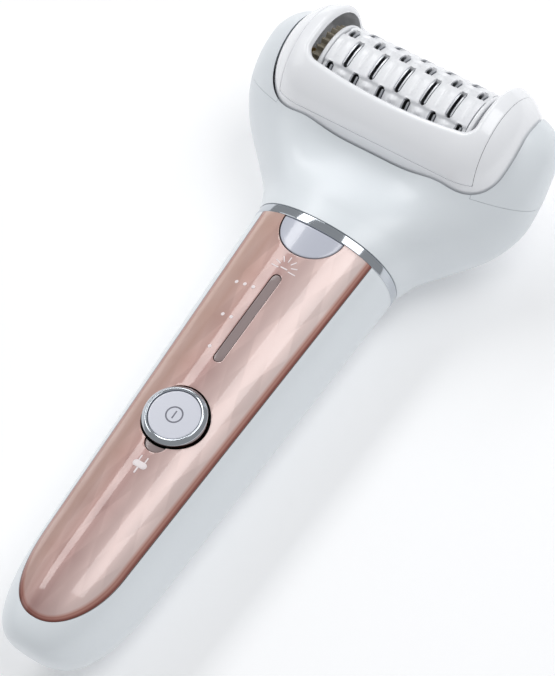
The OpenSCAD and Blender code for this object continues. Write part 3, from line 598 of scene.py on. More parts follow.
def curve_at(values, s):
    """Cubic through the stations, with the averaged slope at each."""
    slope = np.empty(len(stations))
    slope[1:-1] = (values[2:] - values[:-2]) / (stations[2:] - stations[:-2])
    slope[0] = (values[1] - values[0]) / (stations[1] - stations[0])
    slope[-1] = (values[-1] - values[-2]) / (stations[-1] - stations[-2])
    i = np.clip(np.searchsorted(stations, s, side="right") - 1, 0, len(stations) - 2)
    h = stations[i + 1] - stations[i]
    t = (s - stations[i]) / h
    return ((2 * t ** 3 - 3 * t ** 2 + 1) * values[i] + (t ** 3 - 2 * t ** 2 + t) * h * slope[i]
            + (3 * t ** 2 - 2 * t ** 3) * values[i + 1] + (t ** 3 - t ** 2) * h * slope[i + 1])


def dish_at(x, s):
    """Depth of the hollow under the window: a flat-topped bell across X, which
    eases in up the head."""
    t = np.clip((s - dish_from) / (dish_full - dish_from), 0, 1)
    return dish * np.exp(-(x / dish_half) ** 4) * t ** 2 * (3 - 2 * t)


def shell_points(s, inset=0.03, count=200, below=0.0):
    """Oval rings up the head; near the top both half sizes close on a rounding.
    The front half sinks by the hollow."""
    s = np.asarray(s, float)[:, None]
    k = rounding((s - shell_h + ear_round) / ear_round, 2.2)
    a = curve_at(width_at, s) * k ** 0.2 - inset
    top, low = curve_at(front_at, s), curve_at(back_at, s)
    ox, oz = oval(np.linspace(0, 2 * np.pi, count, endpoint=False))
    z = (top + low) / 2 + ((top - low) / 2 * k - inset) * oz
    z = z - dish_at(a * ox, s) * np.maximum(oz, 0)
    y = base_y + s - np.where(s <= 0, below, 0)
    return np.stack([a * ox, np.broadcast_to(y, z.shape), z], -1)


def shell_body(name):
    """The whole outer form as a closed solid."""
    s = np.concatenate([np.linspace(0, shell_h - ear_round, 70),
                        shell_h - ear_round * (1 - np.sin(np.linspace(0, np.pi / 2, 26)[1:]))])
    return make_mesh(name, grid(shell_points(s), wrap_cols=True), fill=True)


# %% [markdown]
# The pivoting head is a short barrel with rounded ends. Its surface is given by
# a place along X, an angle from the window's middle and a depth under the skin.
# The same function later makes the cap, the frame behind it, and the cutter
# that opens the shell's mouth.
# %% The barrel
barrel_r = 14.34
barrel_x = corners("pivot_frame")[1][0]
barrel_round = 11.0
barrel_gap = 0.45
barrel_wall = 1.4
straight_x = barrel_x - barrel_round


def barrel_point(x, angle, depth=0.0):
    """A point on the barrel at x and an angle in degrees, a depth under its skin.
    The radius closes at the ends on a rounding, and the depth follows the normal."""
    t = np.clip((np.abs(x) - straight_x) / barrel_round, 0, 1)
    r = barrel_r - barrel_round + barrel_round * rounding(t, 2.2)
    nx = t ** 1.2 * np.sign(x)
    nr = rounding(t, 2.2) ** 1.2
    size = np.sqrt(nx ** 2 + nr ** 2)
    r = r - depth * nr / size
    around = tilt + np.radians(angle)
    return np.stack(np.broadcast_arrays(x - depth * nx / size, axis_y + r * np.cos(around),
                                        axis_z + r * np.sin(around)), -1)


def end_places(count=20):
    """Places along a rounded end, crowding towards its pole."""
    return straight_x + barrel_round * np.sin(np.linspace(0, np.pi / 2, count))


def barrel_cutter(gap):
    """The barrel as a closed solid, grown by a gap."""
    side = np.concatenate([end_places(26), [barrel_x, barrel_x]])
    x = np.concatenate([-side[::-1], side])[:, None]
    ring = barrel_point(x, np.linspace(0, 360, 160, endpoint=False)[None, :], -gap)
    axis = np.array([0, axis_y, axis_z])
    flat_end = ring[[0, -1]] * np.array([1.0, 0, 0]) + axis * np.array([0, 1.0, 1.0])
    rows = np.concatenate([flat_end[:1], ring, flat_end[1:]])
    return make_mesh("barrel_cutter", grid(rows, wrap_cols=True))


tilt_turn = np.array([[1, 0, 0], [0, math.cos(tilt), -math.sin(tilt)], [0, math.sin(tilt), math.cos(tilt)]])
tilt_frame = (tilt_turn, np.array([0, axis_y, axis_z]))
ear_x = 24.5
split_n = -7.2


def ear_box(side, inset=0.0):
    """The block of space that belongs to one ear: outside ear_x, above the split."""
    x0, x1 = (ear_x + inset, 60) if side > 0 else (-60, -ear_x - inset)
    return make_mesh("ear_box", box_block([x0, split_n + inset, -60], [x1, 80, 60], tilt_frame))


def rod_along_x(name, x0, x1, y, z, r, count=64):
    """A closed round rod along X."""
    t = np.linspace(0, 2 * np.pi, count, endpoint=False)
    rows = np.array([np.column_stack([np.full(count, x), y + k * np.cos(t), z + k * np.sin(t)])
                     for x, k in ((x0, 0.0), (x0, r), (x1, r), (x1, 0.0))])
    return make_mesh(name, grid(rows, wrap_cols=True))


def room_round(node, r_gap, x_gap):
    """A rod that clears a gear all round."""
    low, high = corners(node)
    y, z = (low[1] + high[1]) / 2, (low[2] + high[2]) / 2
    return rod_along_x("room", low[0] - x_gap, high[0] + x_gap, y, z, (high[1] - low[1]) / 2 + r_gap)


head = shell_body("head_skin")
cavity_rows = np.concatenate([[0.0], np.linspace(0.001, shell_h * 0.8, 40)])
cavity_points = shell_points(cavity_rows, shell_wall, 120, 1.0)
cavity = make_mesh("cavity", grid(cavity_points, wrap_cols=True), fill=True)
barrel = barrel_cutter(barrel_gap)
boxes = [ear_box(-1), ear_box(1)]
rooms = [room_round("lay_gear", 0.4, 0.3), room_round("crown_gear", 0.4, 0.6)]
cut(head, [cavity, barrel, *boxes, *rooms])
apply_all(head, 35)
settle(head, "head_shell")
axle_low, axle_high = corners("drum_axle")
axle_r = (axle_high[2] - axle_low[2]) / 2
bore = rod_along_x("bore", axle_low[0] - 0.2, axle_high[0] + 0.2, axis_y, axis_z, axle_r + 0.02)
for side, name in ((-1, "left"), (1, "right")):
    ear = shell_body(f"{name}_ear_skin")
    room = ear_box(side, 0.09)
    cut(ear, [room], "INTERSECT")
    cut(ear, [barrel, bore])
    apply_all(ear, 35)
    settle(ear, f"{name}_ear")
    drop(room)
drop(cavity, barrel, bore, *boxes, *rooms)


# %% [markdown]
# The cap is the front of the barrel between the ears, with a window in it. Both
# the window and the cap's outer edge are closed outlines with the same number
# of points, so a smooth grid runs from one to the other. At the window the grid
# turns in on a broad round lip, and returns on the inner side as the wall.
# %% Window cap
seam = 109.0
window_x = 20.9
window_back, window_front = 66.0, 62.0
cap_half = ear_x - 0.05
window_bow = 7.5        # degrees by which the front edge bows outwards at its middle
lip = 1.1               # radius of the window's lip
skin_mm = math.radians(1) * barrel_r    # length of one degree on the barrel


def rounded_box(hx, low, high, r, straight=40, turn=12):
    """Outline of a box with round corners, in mm along X and round the barrel.
    Every outline has the same count of points on each side and corner."""
    q = np.linspace(0, np.pi / 2, turn)
    out = []
    right, top, bottom = hx - r, high - r, low + r
    for quarter, (cx, cy) in enumerate(((right, top), (-right, top), (-right, bottom), (right, bottom))):
        t = q + quarter * np.pi / 2
        out.append(np.column_stack([cx + r * np.cos(t), cy + r * np.sin(t)]))
    pieces = []
    for k in range(4):
        start, end = out[k][-1], out[(k + 1) % 4][0]
        line = start + (end - start) * np.linspace(0, 1, straight)[1:-1, None]
        pieces += [out[k], line]
    return np.concatenate(pieces)


def window_outline(grow):
    """The window's outline, grown by some mm, with its bowed front edge."""
    loop = rounded_box(window_x + grow, -window_back * skin_mm - grow,
                       window_front * skin_mm + grow, 2.4 + grow)
    share = np.clip(1 - (loop[:, 0] / window_x) ** 2, 0, 1) * np.clip(loop[:, 1] / 10, 0, 1)
    loop[:, 1] += share * window_bow * skin_mm * np.clip((loop[:, 1]) / 14, 0, 1)
    return loop


def cap_points():
    """Rows of outlines: outer skin, lip, inner wall, and back to the outer edge."""
    edge = rounded_box(cap_half, -seam * skin_mm, seam * skin_mm, 0.5)
    inner_edge = rounded_box(cap_half - 0.2, -seam * skin_mm + 0.2, seam * skin_mm - 0.2, 0.5)
    rim_loop = window_outline(lip)
    rows = [(edge, barrel_wall), (edge, 0.22), (edge * 0.9985, 0.06), (inner_edge, 0.0)]
    for v in np.linspace(0, 1, 26)[1:]:
        rows.append((inner_edge + (rim_loop - inner_edge) * v, 0.0))
    for q in np.linspace(0, np.pi / 2, 9)[1:]:
        rows.append((window_outline(lip * (1 - math.sin(q))), lip * (1 - math.cos(q))))
    rows.append((window_outline(0.0), barrel_wall))
    rows += [(rim_loop, barrel_wall)]
    for v in np.linspace(0, 1, 9)[1:-1]:
        rows.append((rim_loop + (edge - rim_loop) * v, barrel_wall))
    return np.array([barrel_point(loop[:, 0], loop[:, 1] / skin_mm, depth) for loop, depth in rows])


cap = make_mesh("cap_skin", grid(cap_points(), wrap_rows=True, wrap_cols=True))
cap.data.set_sharp_from_angle(angle=math.radians(50))
settle(cap, "window_cap")

# %% [markdown]
# The frame is the rest of the barrel: the wall behind the cap and the two round
# ends inside the ears. One grid covers the whole barrel, with lines exactly on
# the seam and on the gear's slot, and the faces in front of them are left out.
# %% Pivot frame
idler_low, idler_high = corners("idler_gear")
lay_low, lay_high = corners("lay_gear")
lay_mid = (lay_low + lay_high) / 2
lay_dir = math.degrees(math.atan2(lay_mid[2] - axis_z, lay_mid[1] - axis_y))
slot_mid = (lay_dir - math.degrees(tilt)) % 360
slot_x = (idler_low[0] - 2.2, idler_high[0] + 0.7)
slot_half = 46.0
frame_seam = seam + 0.35


def frame_part():
    """The barrel's grid without the faces of the cap and of the slot."""
    ends = end_places(22)[1:]
    mid = np.concatenate([np.linspace(-straight_x, straight_x, 40), slot_x, [-ear_x, ear_x]])
    x = np.unique(np.round(np.concatenate([-ends, mid, ends]), 5))
    edges = [frame_seam, 360 - frame_seam, slot_mid - slot_half, slot_mid + slot_half]
    a = np.unique(np.round(np.concatenate([np.arange(0, 360, 2.5), edges]), 4))
    points, faces = grid(barrel_point(x[:, None], a[None, :]), wrap_cols=True)
    wide = np.append(a, a[0] + 360)
    cx = np.repeat((x[1:] + x[:-1]) / 2, len(a))
    ca = np.tile((wide[1:] + wide[:-1]) / 2, len(x) - 1)
    under_cap = (np.abs(cx) < ear_x) & ((ca < frame_seam) | (ca > 360 - frame_seam))
    in_slot = (cx > slot_x[0]) & (cx < slot_x[1]) & (np.abs(ca - slot_mid) < slot_half)
    return points, faces[~(under_cap | in_slot)]


def disc_on_axis(x0, x1, r0, r1, count=96):
    """A flat ring round the drum's axis."""
    t = np.linspace(0, 2 * np.pi, count, endpoint=False)
    rows = [np.column_stack([np.full(count, x), axis_y + r * np.cos(t), axis_z + r * np.sin(t)])
            for x, r in ((x0, r0), (x0, r1), (x1, r1), (x1, r0))]
    return grid(np.array(rows), wrap_rows=True, wrap_cols=True)


pivot = make_mesh("pivot_skin", frame_part())
shell(pivot, barrel_wall)
apply_all(pivot, 40)
bush_low, bush_high = corners("pivot_bushes")
bush_r = (bush_high[2] - bush_low[2]) / 2
cheek_x = bush_high[0] - 1.0
cheeks = make_mesh("pivot_cheeks", joined([
    disc_on_axis(s * cheek_x - 0.75, s * cheek_x + 0.75, bush_r + 0.02, 9.4) for s in (-1, 1)]))
cheeks.data.set_sharp_from_angle(angle=math.radians(40))
settle(pivot, "pivot_frame")
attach(cheeks, body_of["pivot_frame"])
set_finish(cheeks, slot_of["pivot_frame"])

# %% [markdown]
# The drum is the part that the eye goes to. Its pads are one skin round the
# core: a height over every place along the axis and every angle. Each steel
# plate has six slots, and the next plate's are turned half a step, so that the
# slots stand in staggered rows. A distance to the nearest slot gives the pit,
# its raised lip and the small nubs between the rows.
# %% Drum skin
pads_low, pads_high = corners("drum_pads")
drum_r = (pads_high[2] - pads_low[2]) / 2
drum_half = pads_high[0]
fixed_low, fixed_high = corners("fixed_tweezers")
moving_low = corners("moving_tweezers")[0]
plate_count = 11
plate_pitch = (fixed_high[0] - fixed_low[0] - 0.35) / (plate_count - 1)
row_turn = 6.0
slot_long = 2.9         # half length of a long slot's straight part
slot_short = 0.9        # the same for the short slots between
slot_wide = 0.82        # half width of a slot
slot_deep = 3.2
plate_places = (np.arange(plate_count) - (plate_count - 1) / 2) * plate_pitch


def drum_height(x, angle):
    """Radius of the drum's skin at x and an angle in degrees from the window.
    Inside a slot it drops, and a lip rises round it. Every second plate has long
    slots between raised pads with a faint ridge; the others have short slots,
    and a round nub stands between two of those."""
    i = np.clip(np.round(x / plate_pitch + (plate_count - 1) / 2), 0, plate_count - 1)
    odd = i % 2 == 1
    dx = x - (i - (plate_count - 1) / 2) * plate_pitch
    mm = np.radians(1) * drum_r
    turn = (angle - row_turn - 30 * odd + 30) % 60 - 30
    past = np.abs(turn) * mm - np.where(odd, slot_long, slot_short)
    to_slot = np.hypot(np.maximum(past, 0), dx) - slot_wide
    pit = np.clip(-to_slot / 0.12, 0, 1)
    lip_up = 0.16 * np.exp(-((to_slot - 0.2) / 0.16) ** 2)
    row_end = np.abs((angle - row_turn) % 60 - 30) * mm - 4.0
    block = 0.5 * (1 - np.clip(row_end / 0.8 + 0.5, 0, 1) ** 2)
    off = (np.abs(turn) - 30) * mm
    nub = np.where(odd, 0.62 * np.exp(-((off / 0.95) ** 2 + (dx / 0.8) ** 2)), 0)
    ridge = np.where(odd, 0, 0.15 * np.exp(-(dx / 0.3) ** 2) * np.clip((2.9 - np.abs(off)) / 0.8, 0, 1))
    return drum_r - 0.82 + block + lip_up + nub + ridge - slot_deep * pit


def drum_part():
    """The skin as a closed tube: outer rows by height, inner row at the core."""
    offsets = np.array([-1.5, -1.25, -1.05, -0.92, -0.84, -0.76, -0.68, -0.4, -0.18, 0,
                        0.18, 0.4, 0.68, 0.76, 0.84, 0.92, 1.05, 1.25, 1.5])
    x = np.concatenate([[-drum_half], (plate_places[:, None] + offsets).ravel(), [drum_half]])
    a = np.arange(0, 360, 1.25)
    r = drum_height(x[:, None], a[None, :])
    around = tilt + np.radians(a)[None, :]
    skin = np.stack([np.broadcast_to(x[:, None], r.shape), axis_y + r * np.cos(around),
                     axis_z + r * np.sin(around)], -1)
    core = corners("drum_core")
    core_r = (core[1][2] - core[0][2]) / 2 + 0.06
    ends = np.array([np.stack([np.full(len(a), x0), axis_y + core_r * np.cos(around[0]),
                               axis_z + core_r * np.sin(around[0])], -1) for x0 in (-drum_half, drum_half)])
    return grid(np.concatenate([ends[:1], skin, ends[1:]]), wrap_rows=True, wrap_cols=True)


pads = make_mesh("drum_skin", drum_part())
pads.data.set_sharp_from_angle(angle=math.radians(60))
settle(pads, "drum_pads")

# %% [markdown]
# Each tweezer plate is a thin steel disc whose rim swells into six gripping
# lobes. One outline, a radius for every angle, is stacked at every plate. Half
# the plates are fixed and half slide, so they are two pieces.
# %% Tweezer plates and end collars
def plate_radius(angle, turn, reach):
    """Radius of a plate: a plain disc that swells into six lobes, each of which
    reaches some degrees to either side."""
    off = np.abs((angle - turn + 30) % 60 - 30)
    return drum_r - 1.6 + 1.4 * np.clip((reach - off) / 2.5, 0, 1) ** 0.6


def plate_stack(low_x, thick=0.35):
    """All eleven plates, each a closed ring, at its own place and turn."""
    a = np.arange(0, 360, 1.5)
    around = tilt + np.radians(a)
    core = corners("drum_core")
    bore_r = (core[1][2] - core[0][2]) / 2 + 0.08
    parts = []
    for i in range(plate_count):
        outer = plate_radius(a, row_turn + 30 * (i % 2), 19.0 if i % 2 else 8.5)
        x0 = low_x + i * plate_pitch
        rows = [np.column_stack([np.full(len(a), x), axis_y + r * np.cos(around),
                                 axis_z + r * np.sin(around)])
                for x, r in ((x0, bore_r), (x0, outer), (x0 + thick, outer), (x0 + thick, bore_r))]
        parts.append(grid(np.array(rows), wrap_rows=True, wrap_cols=True))
    return joined(parts)


for name, node, low in (("fixed_blades", "fixed_tweezers", fixed_low),
                        ("sliding_blades", "moving_tweezers", moving_low)):
    blades = make_mesh(name, plate_stack(low[0]))
    blades.data.set_sharp_from_angle(angle=math.radians(30))
    settle(blades, node)


def ring_on_axis(profile, count=180):
    """A closed profile of (x, radius) points turned about the drum's axis."""
    t = np.linspace(0, 2 * np.pi, count, endpoint=False)
    x, r = np.array(profile, float).T
    y = axis_y + r[:, None] * np.cos(t)
    z = axis_z + r[:, None] * np.sin(t)
    return grid(np.stack([np.broadcast_to(x[:, None], y.shape), y, z], -1), wrap_rows=True, wrap_cols=True)


collars_low, collars_high = corners("drum_collars")
collar_r = (collars_high[2] - collars_low[2]) / 2
core_low, core_high = corners("drum_core")
inner_r = (core_high[2] - core_low[2]) / 2 + 0.05
thick = 1.0
end_profile = np.concatenate([
    [[0, inner_r], [thick, inner_r]],
    arc(thick - 0.35, collar_r - 0.35, 0.35, 0, 90, 6),
    arc(0.15, collar_r - 0.15, 0.15, 90, 180, 4)])
right_profile = end_profile + [collars_high[0] - thick, 0]
left_profile = end_profile * [-1, 1] + [collars_low[0] + thick, 0]
end_rings = make_mesh("drum_end_rings", joined([ring_on_axis(right_profile), ring_on_axis(left_profile)]))
end_rings.data.set_sharp_from_angle(angle=math.radians(50))
settle(end_rings, "drum_collars")

# %% [markdown]
# Small signs are printed on the panel: rows of one, two and three dots beside the
# lamp bar for the speeds, a sun of short rays under the release button, and a
# plug over the charge lamp. Each stroke is a low pill that follows the panel.
# %% Printed signs
ink = 0.03


def on_panel(x, y):
    """Height of the ink's top over the panel."""
    return front_z(x, y) + ink


def stroke(start, end, r):
    """A pill from start to end."""
    middle = (np.array(start) + np.array(end)) / 2
    return pill(stadium(start, end, r, 7), middle, on_panel, ink * 1.5, ink * 0.5, 3, 2)


def dot(x, y, r=0.42):
    """A round dot of ink."""
    return pill(circle(r, x, y, 20), (x, y), on_panel, ink * 1.5, ink * 0.5, 3, 2)


dot_step = 2.1
signs = []
for count, y in ((3, 33.3), (2, 25.1), (1, 17.2)):
    for k in range(count):
        signs.append(dot(-3.2 - dot_step * k, y - 0.15 * k))
sun_y = 41.3
for angle in np.radians([-70, -35, 0, 35, 70]):
    way = np.array([math.sin(angle), math.cos(angle)])
    signs.append(stroke(np.array([0, sun_y - 1]) + way * 1.5, np.array([0, sun_y - 1]) + way * 2.7, 0.13))
signs.append(stroke((-2.9, sun_y - 1.5), (-1.3, sun_y - 1.5), 0.13))
signs.append(stroke((1.3, sun_y - 1.5), (2.9, sun_y - 1.5), 0.13))
signs.append(stroke((-0.7, sun_y - 1.2), (0.7, sun_y - 1.2), 0.16))
plug_y = -12.6
signs.append(stroke((-0.9, plug_y), (0.9, plug_y), 0.75))
signs.append(stroke((-0.75, plug_y + 0.8), (-0.75, plug_y + 1.9), 0.16))
signs.append(stroke((0.75, plug_y + 0.8), (0.75, plug_y + 1.9), 0.16))
signs.append(stroke((0, plug_y - 0.9), (0, plug_y - 2.0), 0.2))
marks = make_mesh("panel_signs", joined(signs))
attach(marks, "handle")
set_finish(marks, "button_face")
measure(marks)


# %% [markdown]
# Real plastic and metal are never one flat value. A shared node group gives each
# finish a slow drift of colour, a fine change of gloss and a grain in height.
# The shader itself stays in each material, with its constants on its sockets.
# %% Shared grain group
def new_group(name, inputs, outputs):
    """An empty shader group with named sockets."""
    group = bpy.data.node_groups.new(name, "ShaderNodeTree")
    for label, kind, value in inputs:
        socket = group.interface.new_socket(label, in_out="INPUT", socket_type=kind)
        if value is not None:
            socket.default_value = value
    for label, kind in outputs:
        group.interface.new_socket(label, in_out="OUTPUT", socket_type=kind)
    return group


def add(tree, kind, **settings):
    """A node with some of its settings."""
    node = tree.nodes.new(kind)
    for key, value in settings.items():
        setattr(node, key, value)
    return node


def math_node(tree, operation, a, b=None, clamp=False):
    """A Math node; a and b are sockets or numbers."""
    node = add(tree, "ShaderNodeMath", operation=operation, use_clamp=clamp)
    for k, value in enumerate((a, b)):
        if value is None:
            continue
        if isinstance(value, (int, float)):
            node.inputs[k].default_value = value
        else:
            tree.links.new(value, node.inputs[k])
    return node.outputs[0]


def mix_color(tree, factor, a, b, blend="MIX"):
    """A colour mix; a and b are sockets or colours."""
    node = add(tree, "ShaderNodeMix", data_type="RGBA", blend_type=blend)
    for socket, value in ((node.inputs[0], factor), (node.inputs[6], a), (node.inputs[7], b)):
        if isinstance(value, bpy.types.NodeSocket):
            tree.links.new(value, socket)
        elif isinstance(value, (int, float)):
            socket.default_value = value
        else:
            socket.default_value = (*value[:3], 1)
    return node.outputs[2]


def grain_group():
    """Colour drift from slow noise, gloss and height from fine noise."""
    group = new_group("surface_grain",
                      [("Vector", "NodeSocketVector", None),
                       ("Color", "NodeSocketColor", (0.8, 0.8, 0.8, 1)),
                       ("Roughness", "NodeSocketFloat", 0.4), ("Drift", "NodeSocketFloat", 0.04),
                       ("Gloss Change", "NodeSocketFloat", 0.06), ("Scale", "NodeSocketFloat", 900.0)],
                      [("Color", "NodeSocketColor"), ("Roughness", "NodeSocketFloat"),
                       ("Height", "NodeSocketFloat")])
    enter = add(group, "NodeGroupInput")
    leave = add(group, "NodeGroupOutput")
    slow = add(group, "ShaderNodeTexNoise")
    slow.inputs["Scale"].default_value = 45
    slow.inputs["Detail"].default_value = 2
    fine = add(group, "ShaderNodeTexNoise")
    fine.inputs["Detail"].default_value = 3
    group.links.new(enter.outputs["Vector"], slow.inputs["Vector"])
    group.links.new(enter.outputs["Vector"], fine.inputs["Vector"])
    group.links.new(enter.outputs["Scale"], fine.inputs["Scale"])
    shift = math_node(group, "SUBTRACT", slow.outputs[0], 0.5)
    shift = math_node(group, "MULTIPLY", shift, enter.outputs["Drift"])
    shift = math_node(group, "ADD", shift, 1.0)
    bright = add(group, "ShaderNodeVectorMath", operation="SCALE")
    group.links.new(enter.outputs["Color"], bright.inputs[0])
    group.links.new(shift, bright.inputs["Scale"])
    group.links.new(bright.outputs[0], leave.inputs["Color"])
    gloss = math_node(group, "SUBTRACT", fine.outputs[0], 0.5)
    gloss = math_node(group, "MULTIPLY", gloss, enter.outputs["Gloss Change"])
    gloss = math_node(group, "ADD", gloss, enter.outputs["Roughness"], True)
    group.links.new(gloss, leave.inputs["Roughness"])
    group.links.new(fine.outputs[0], leave.inputs["Height"])
    return group


GRAIN = grain_group()


def linear(code):
    """A screen colour such as #C9A297 as linear red, green and blue."""
    rgb = np.array([int(code[k:k + 2], 16) for k in (1, 3, 5)]) / 255
    return tuple(np.where(rgb <= 0.04045, rgb / 12.92, ((rgb + 0.055) / 1.055) ** 2.4))


def finish(name, code, rough, metal=0.0, coat=0.0, coat_rough=0.06, drift=0.04, change=0.06,
           scale=900.0, bump=0.00001, stretch=(1, 1, 1), see=0.0, alpha=1.0, ior=1.5):
    """A finish: the grain group feeds colour, roughness and a small bump."""
    material = bpy.data.materials.new(name)
    material.use_nodes = True
    tree = material.node_tree
    shader = tree.nodes["Principled BSDF"]
    place = add(tree, "ShaderNodeTexCoord")
    turn = add(tree, "ShaderNodeMapping")
    turn.inputs["Scale"].default_value = stretch
    tree.links.new(place.outputs["Object"], turn.inputs["Vector"])
    grain = add(tree, "ShaderNodeGroup", node_tree=GRAIN)
    grain.inputs["Color"].default_value = (*linear(code), 1)
    grain.inputs["Roughness"].default_value = rough
    grain.inputs["Drift"].default_value = drift
    grain.inputs["Gloss Change"].default_value = change
    grain.inputs["Scale"].default_value = scale
    tree.links.new(turn.outputs[0], grain.inputs["Vector"])
    tree.links.new(grain.outputs["Color"], shader.inputs["Base Color"])
    tree.links.new(grain.outputs["Roughness"], shader.inputs["Roughness"])
    lift_up = add(tree, "ShaderNodeBump")
    lift_up.inputs["Strength"].default_value = 1.0
    lift_up.inputs["Distance"].default_value = bump
    tree.links.new(grain.outputs["Height"], lift_up.inputs["Height"])
    tree.links.new(lift_up.outputs[0], shader.inputs["Normal"])
    shader.inputs["Metallic"].default_value = metal
    shader.inputs["Coat Weight"].default_value = coat
    shader.inputs["Coat Roughness"].default_value = coat_rough
    shader.inputs["IOR"].default_value = ior
    shader.inputs["Transmission Weight"].default_value = see
    shader.inputs["Alpha"].default_value = alpha
    return material


# %% [markdown]
# The plain finishes follow the record's material slots. The shell is a satin
# white with a cool tint, the cap a glossier white, and the metals are stretched
# grain, which reads as brushing.
# %% Plain finishes
finishes = {
    "white_shell": finish("satin_white", "#E9EEF2", 0.36, coat=0.25, coat_rough=0.2, drift=0.02),
    "white_cap": finish("gloss_white", "#FBFCFF", 0.22, coat=0.6, coat_rough=0.05, drift=0.015),
    "inner_plastic": finish("moulded_grey_white", "#D6D8DB", 0.5, bump=0.00003),
    "rose_foil": finish("rose_film", "#C08C80", 0.35, metal=0.6, scale=500),
    "black_rubber": finish("soft_black", "#1B1B1D", 0.7, bump=0.00004, scale=1500),
    "chrome": finish("bright_chrome", "#C4C9CF", 0.08, metal=1.0, drift=0.02, change=0.05, bump=0.000002),
    "grey_lens": finish("pearl_grey", "#C3C6D2", 0.22, coat=0.8, coat_rough=0.05),
    "button_face": finish("pearl_silver", "#DADCE6", 0.3, coat=0.5, coat_rough=0.08),
    "smoke_lens": finish("smoked_lens", "#8B7A79", 0.3, coat=0.5, coat_rough=0.1),
    "clear_guide": finish("clear_acrylic", "#F2F4F6", 0.1, see=0.9, ior=1.49),
    "board_green": finish("solder_mask", "#1E6A3E", 0.35, coat=0.3, scale=600),
    "chip_black": finish("chip_black", "#202024", 0.5, bump=0.00002),
    "steel": finish("brushed_steel", "#C2C4C8", 0.3, metal=1.0, stretch=(1, 8, 1), scale=700,
                    bump=0.000004),
    "cell_wrap": finish("cell_wrap", "#2F5E93", 0.3, coat=0.4),
    "brass": finish("turned_brass", "#C9A35C", 0.28, metal=1.0, stretch=(8, 1, 1), bump=0.000004),
    "gear_grey": finish("grey_acetal", "#9C9484", 0.45, bump=0.00002),
    "gear_cream": finish("cream_acetal", "#E0D8BF", 0.45, bump=0.00002),
    "pad_white": finish("pad_white", "#F1F2F5", 0.28, coat=0.35, coat_rough=0.12, drift=0.02),
}


# %% [markdown]
# The panel is a clear tinted plate over a metallic film that is pressed into long
# diamonds. Two slanted triangle waves make the diamonds, as a bump and as a
# slight change of tone. Across the panel the base colour carries painted light:
# lighter at the left, painted shade in the middle and a painted highlight towards
# the right. Towards the rim the plate is seen edge-on and turns a deep red-brown,
# so the distance in the rim map picks the colour there.
# %% Rose panel finish
def wave(tree, x, y, lean, pitch):
    """A triangle wave along a slanted line: 0 to 1 and back over one pitch."""
    slant = math_node(tree, "ADD", y, math_node(tree, "MULTIPLY", x, lean))
    return math_node(tree, "PINGPONG", math_node(tree, "DIVIDE", slant, pitch), 0.5)


def rose_panel():
    """Tinted gloss: diamonds in bump and tone, painted light and shade across the panel, a rim ramp, and a
    clear coat.
    """
    material = bpy.data.materials.new("rose_gloss")
    material.use_nodes = True
    tree = material.node_tree
    shader = tree.nodes["Principled BSDF"]
    place = add(tree, "ShaderNodeTexCoord")
    split = add(tree, "ShaderNodeSeparateXYZ")
    tree.links.new(place.outputs["Object"], split.inputs[0])
    x, y = split.outputs[0], split.outputs[1]
    first = wave(tree, x, y, 3.2, 0.024)
    second = wave(tree, x, y, -3.2, 0.024)
    height = math_node(tree, "ADD", first, second)
    facet = math_node(tree, "ABSOLUTE", math_node(tree, "SUBTRACT", first, second))
    across = math_node(tree, "ADD", math_node(tree, "MULTIPLY", x, 40.0), 0.5, True)
    # Painted light across the panel: lighter at the left, painted shade in the middle, a painted highlight
    # on the right.
    sides = add(tree, "ShaderNodeValToRGB")
    sides.color_ramp.elements[0].color = (*linear("#D2AC9C"), 1)
    sides.color_ramp.elements[1].color = (*linear("#E6D2CD"), 1)
    for position, code in ((0.45, "#A8837E"), (0.72, "#D6BDB8")):
        element = sides.color_ramp.elements.new(position)
        element.color = (*linear(code), 1)
    tree.links.new(across, sides.inputs[0])
    base = sides.outputs[0]
    tone = mix_color(tree, math_node(tree, "MULTIPLY", facet, 0.55), base, linear("#D9BDB6"))
    rim_map = add(tree, "ShaderNodeUVMap", uv_map="rim")
    rim_split = add(tree, "ShaderNodeSeparateXYZ")
    tree.links.new(rim_map.outputs[0], rim_split.inputs[0])
    ramp = add(tree, "ShaderNodeValToRGB")
    ramp.color_ramp.elements[0].position = 0.0
    ramp.color_ramp.elements[0].color = (*linear("#7A4639"), 1)
    ramp.color_ramp.elements[1].position = 0.14
    ramp.color_ramp.elements[1].color = (*linear("#FFFFFF"), 1)
    for position, code in ((0.03, "#A3675A"), (0.06, "#D9AEA2"), (0.08, "#C99A8D"), (0.1, "#EBCFC6")):
        element = ramp.color_ramp.elements.new(position)
        element.color = (*linear(code), 1)
    tree.links.new(rim_split.outputs[0], ramp.inputs[0])
    color = mix_color(tree, 1.0, tone, ramp.outputs[0], "MULTIPLY")
    tree.links.new(color, shader.inputs["Base Color"])
    press = add(tree, "ShaderNodeBump")
    press.inputs["Strength"].default_value = 1.0
    press.inputs["Distance"].default_value = 0.00026
    tree.links.new(height, press.inputs["Height"])
    tree.links.new(press.outputs[0], shader.inputs["Normal"])
    shader.inputs["Metallic"].default_value = 0.3
    shader.inputs["Roughness"].default_value = 0.42
    shader.inputs["Coat Weight"].default_value = 1.0
    shader.inputs["Coat Roughness"].default_value = 0.05
    shader.inputs["Coat IOR"].default_value = 1.5
    return material


finishes["rose_panel"] = rose_panel()


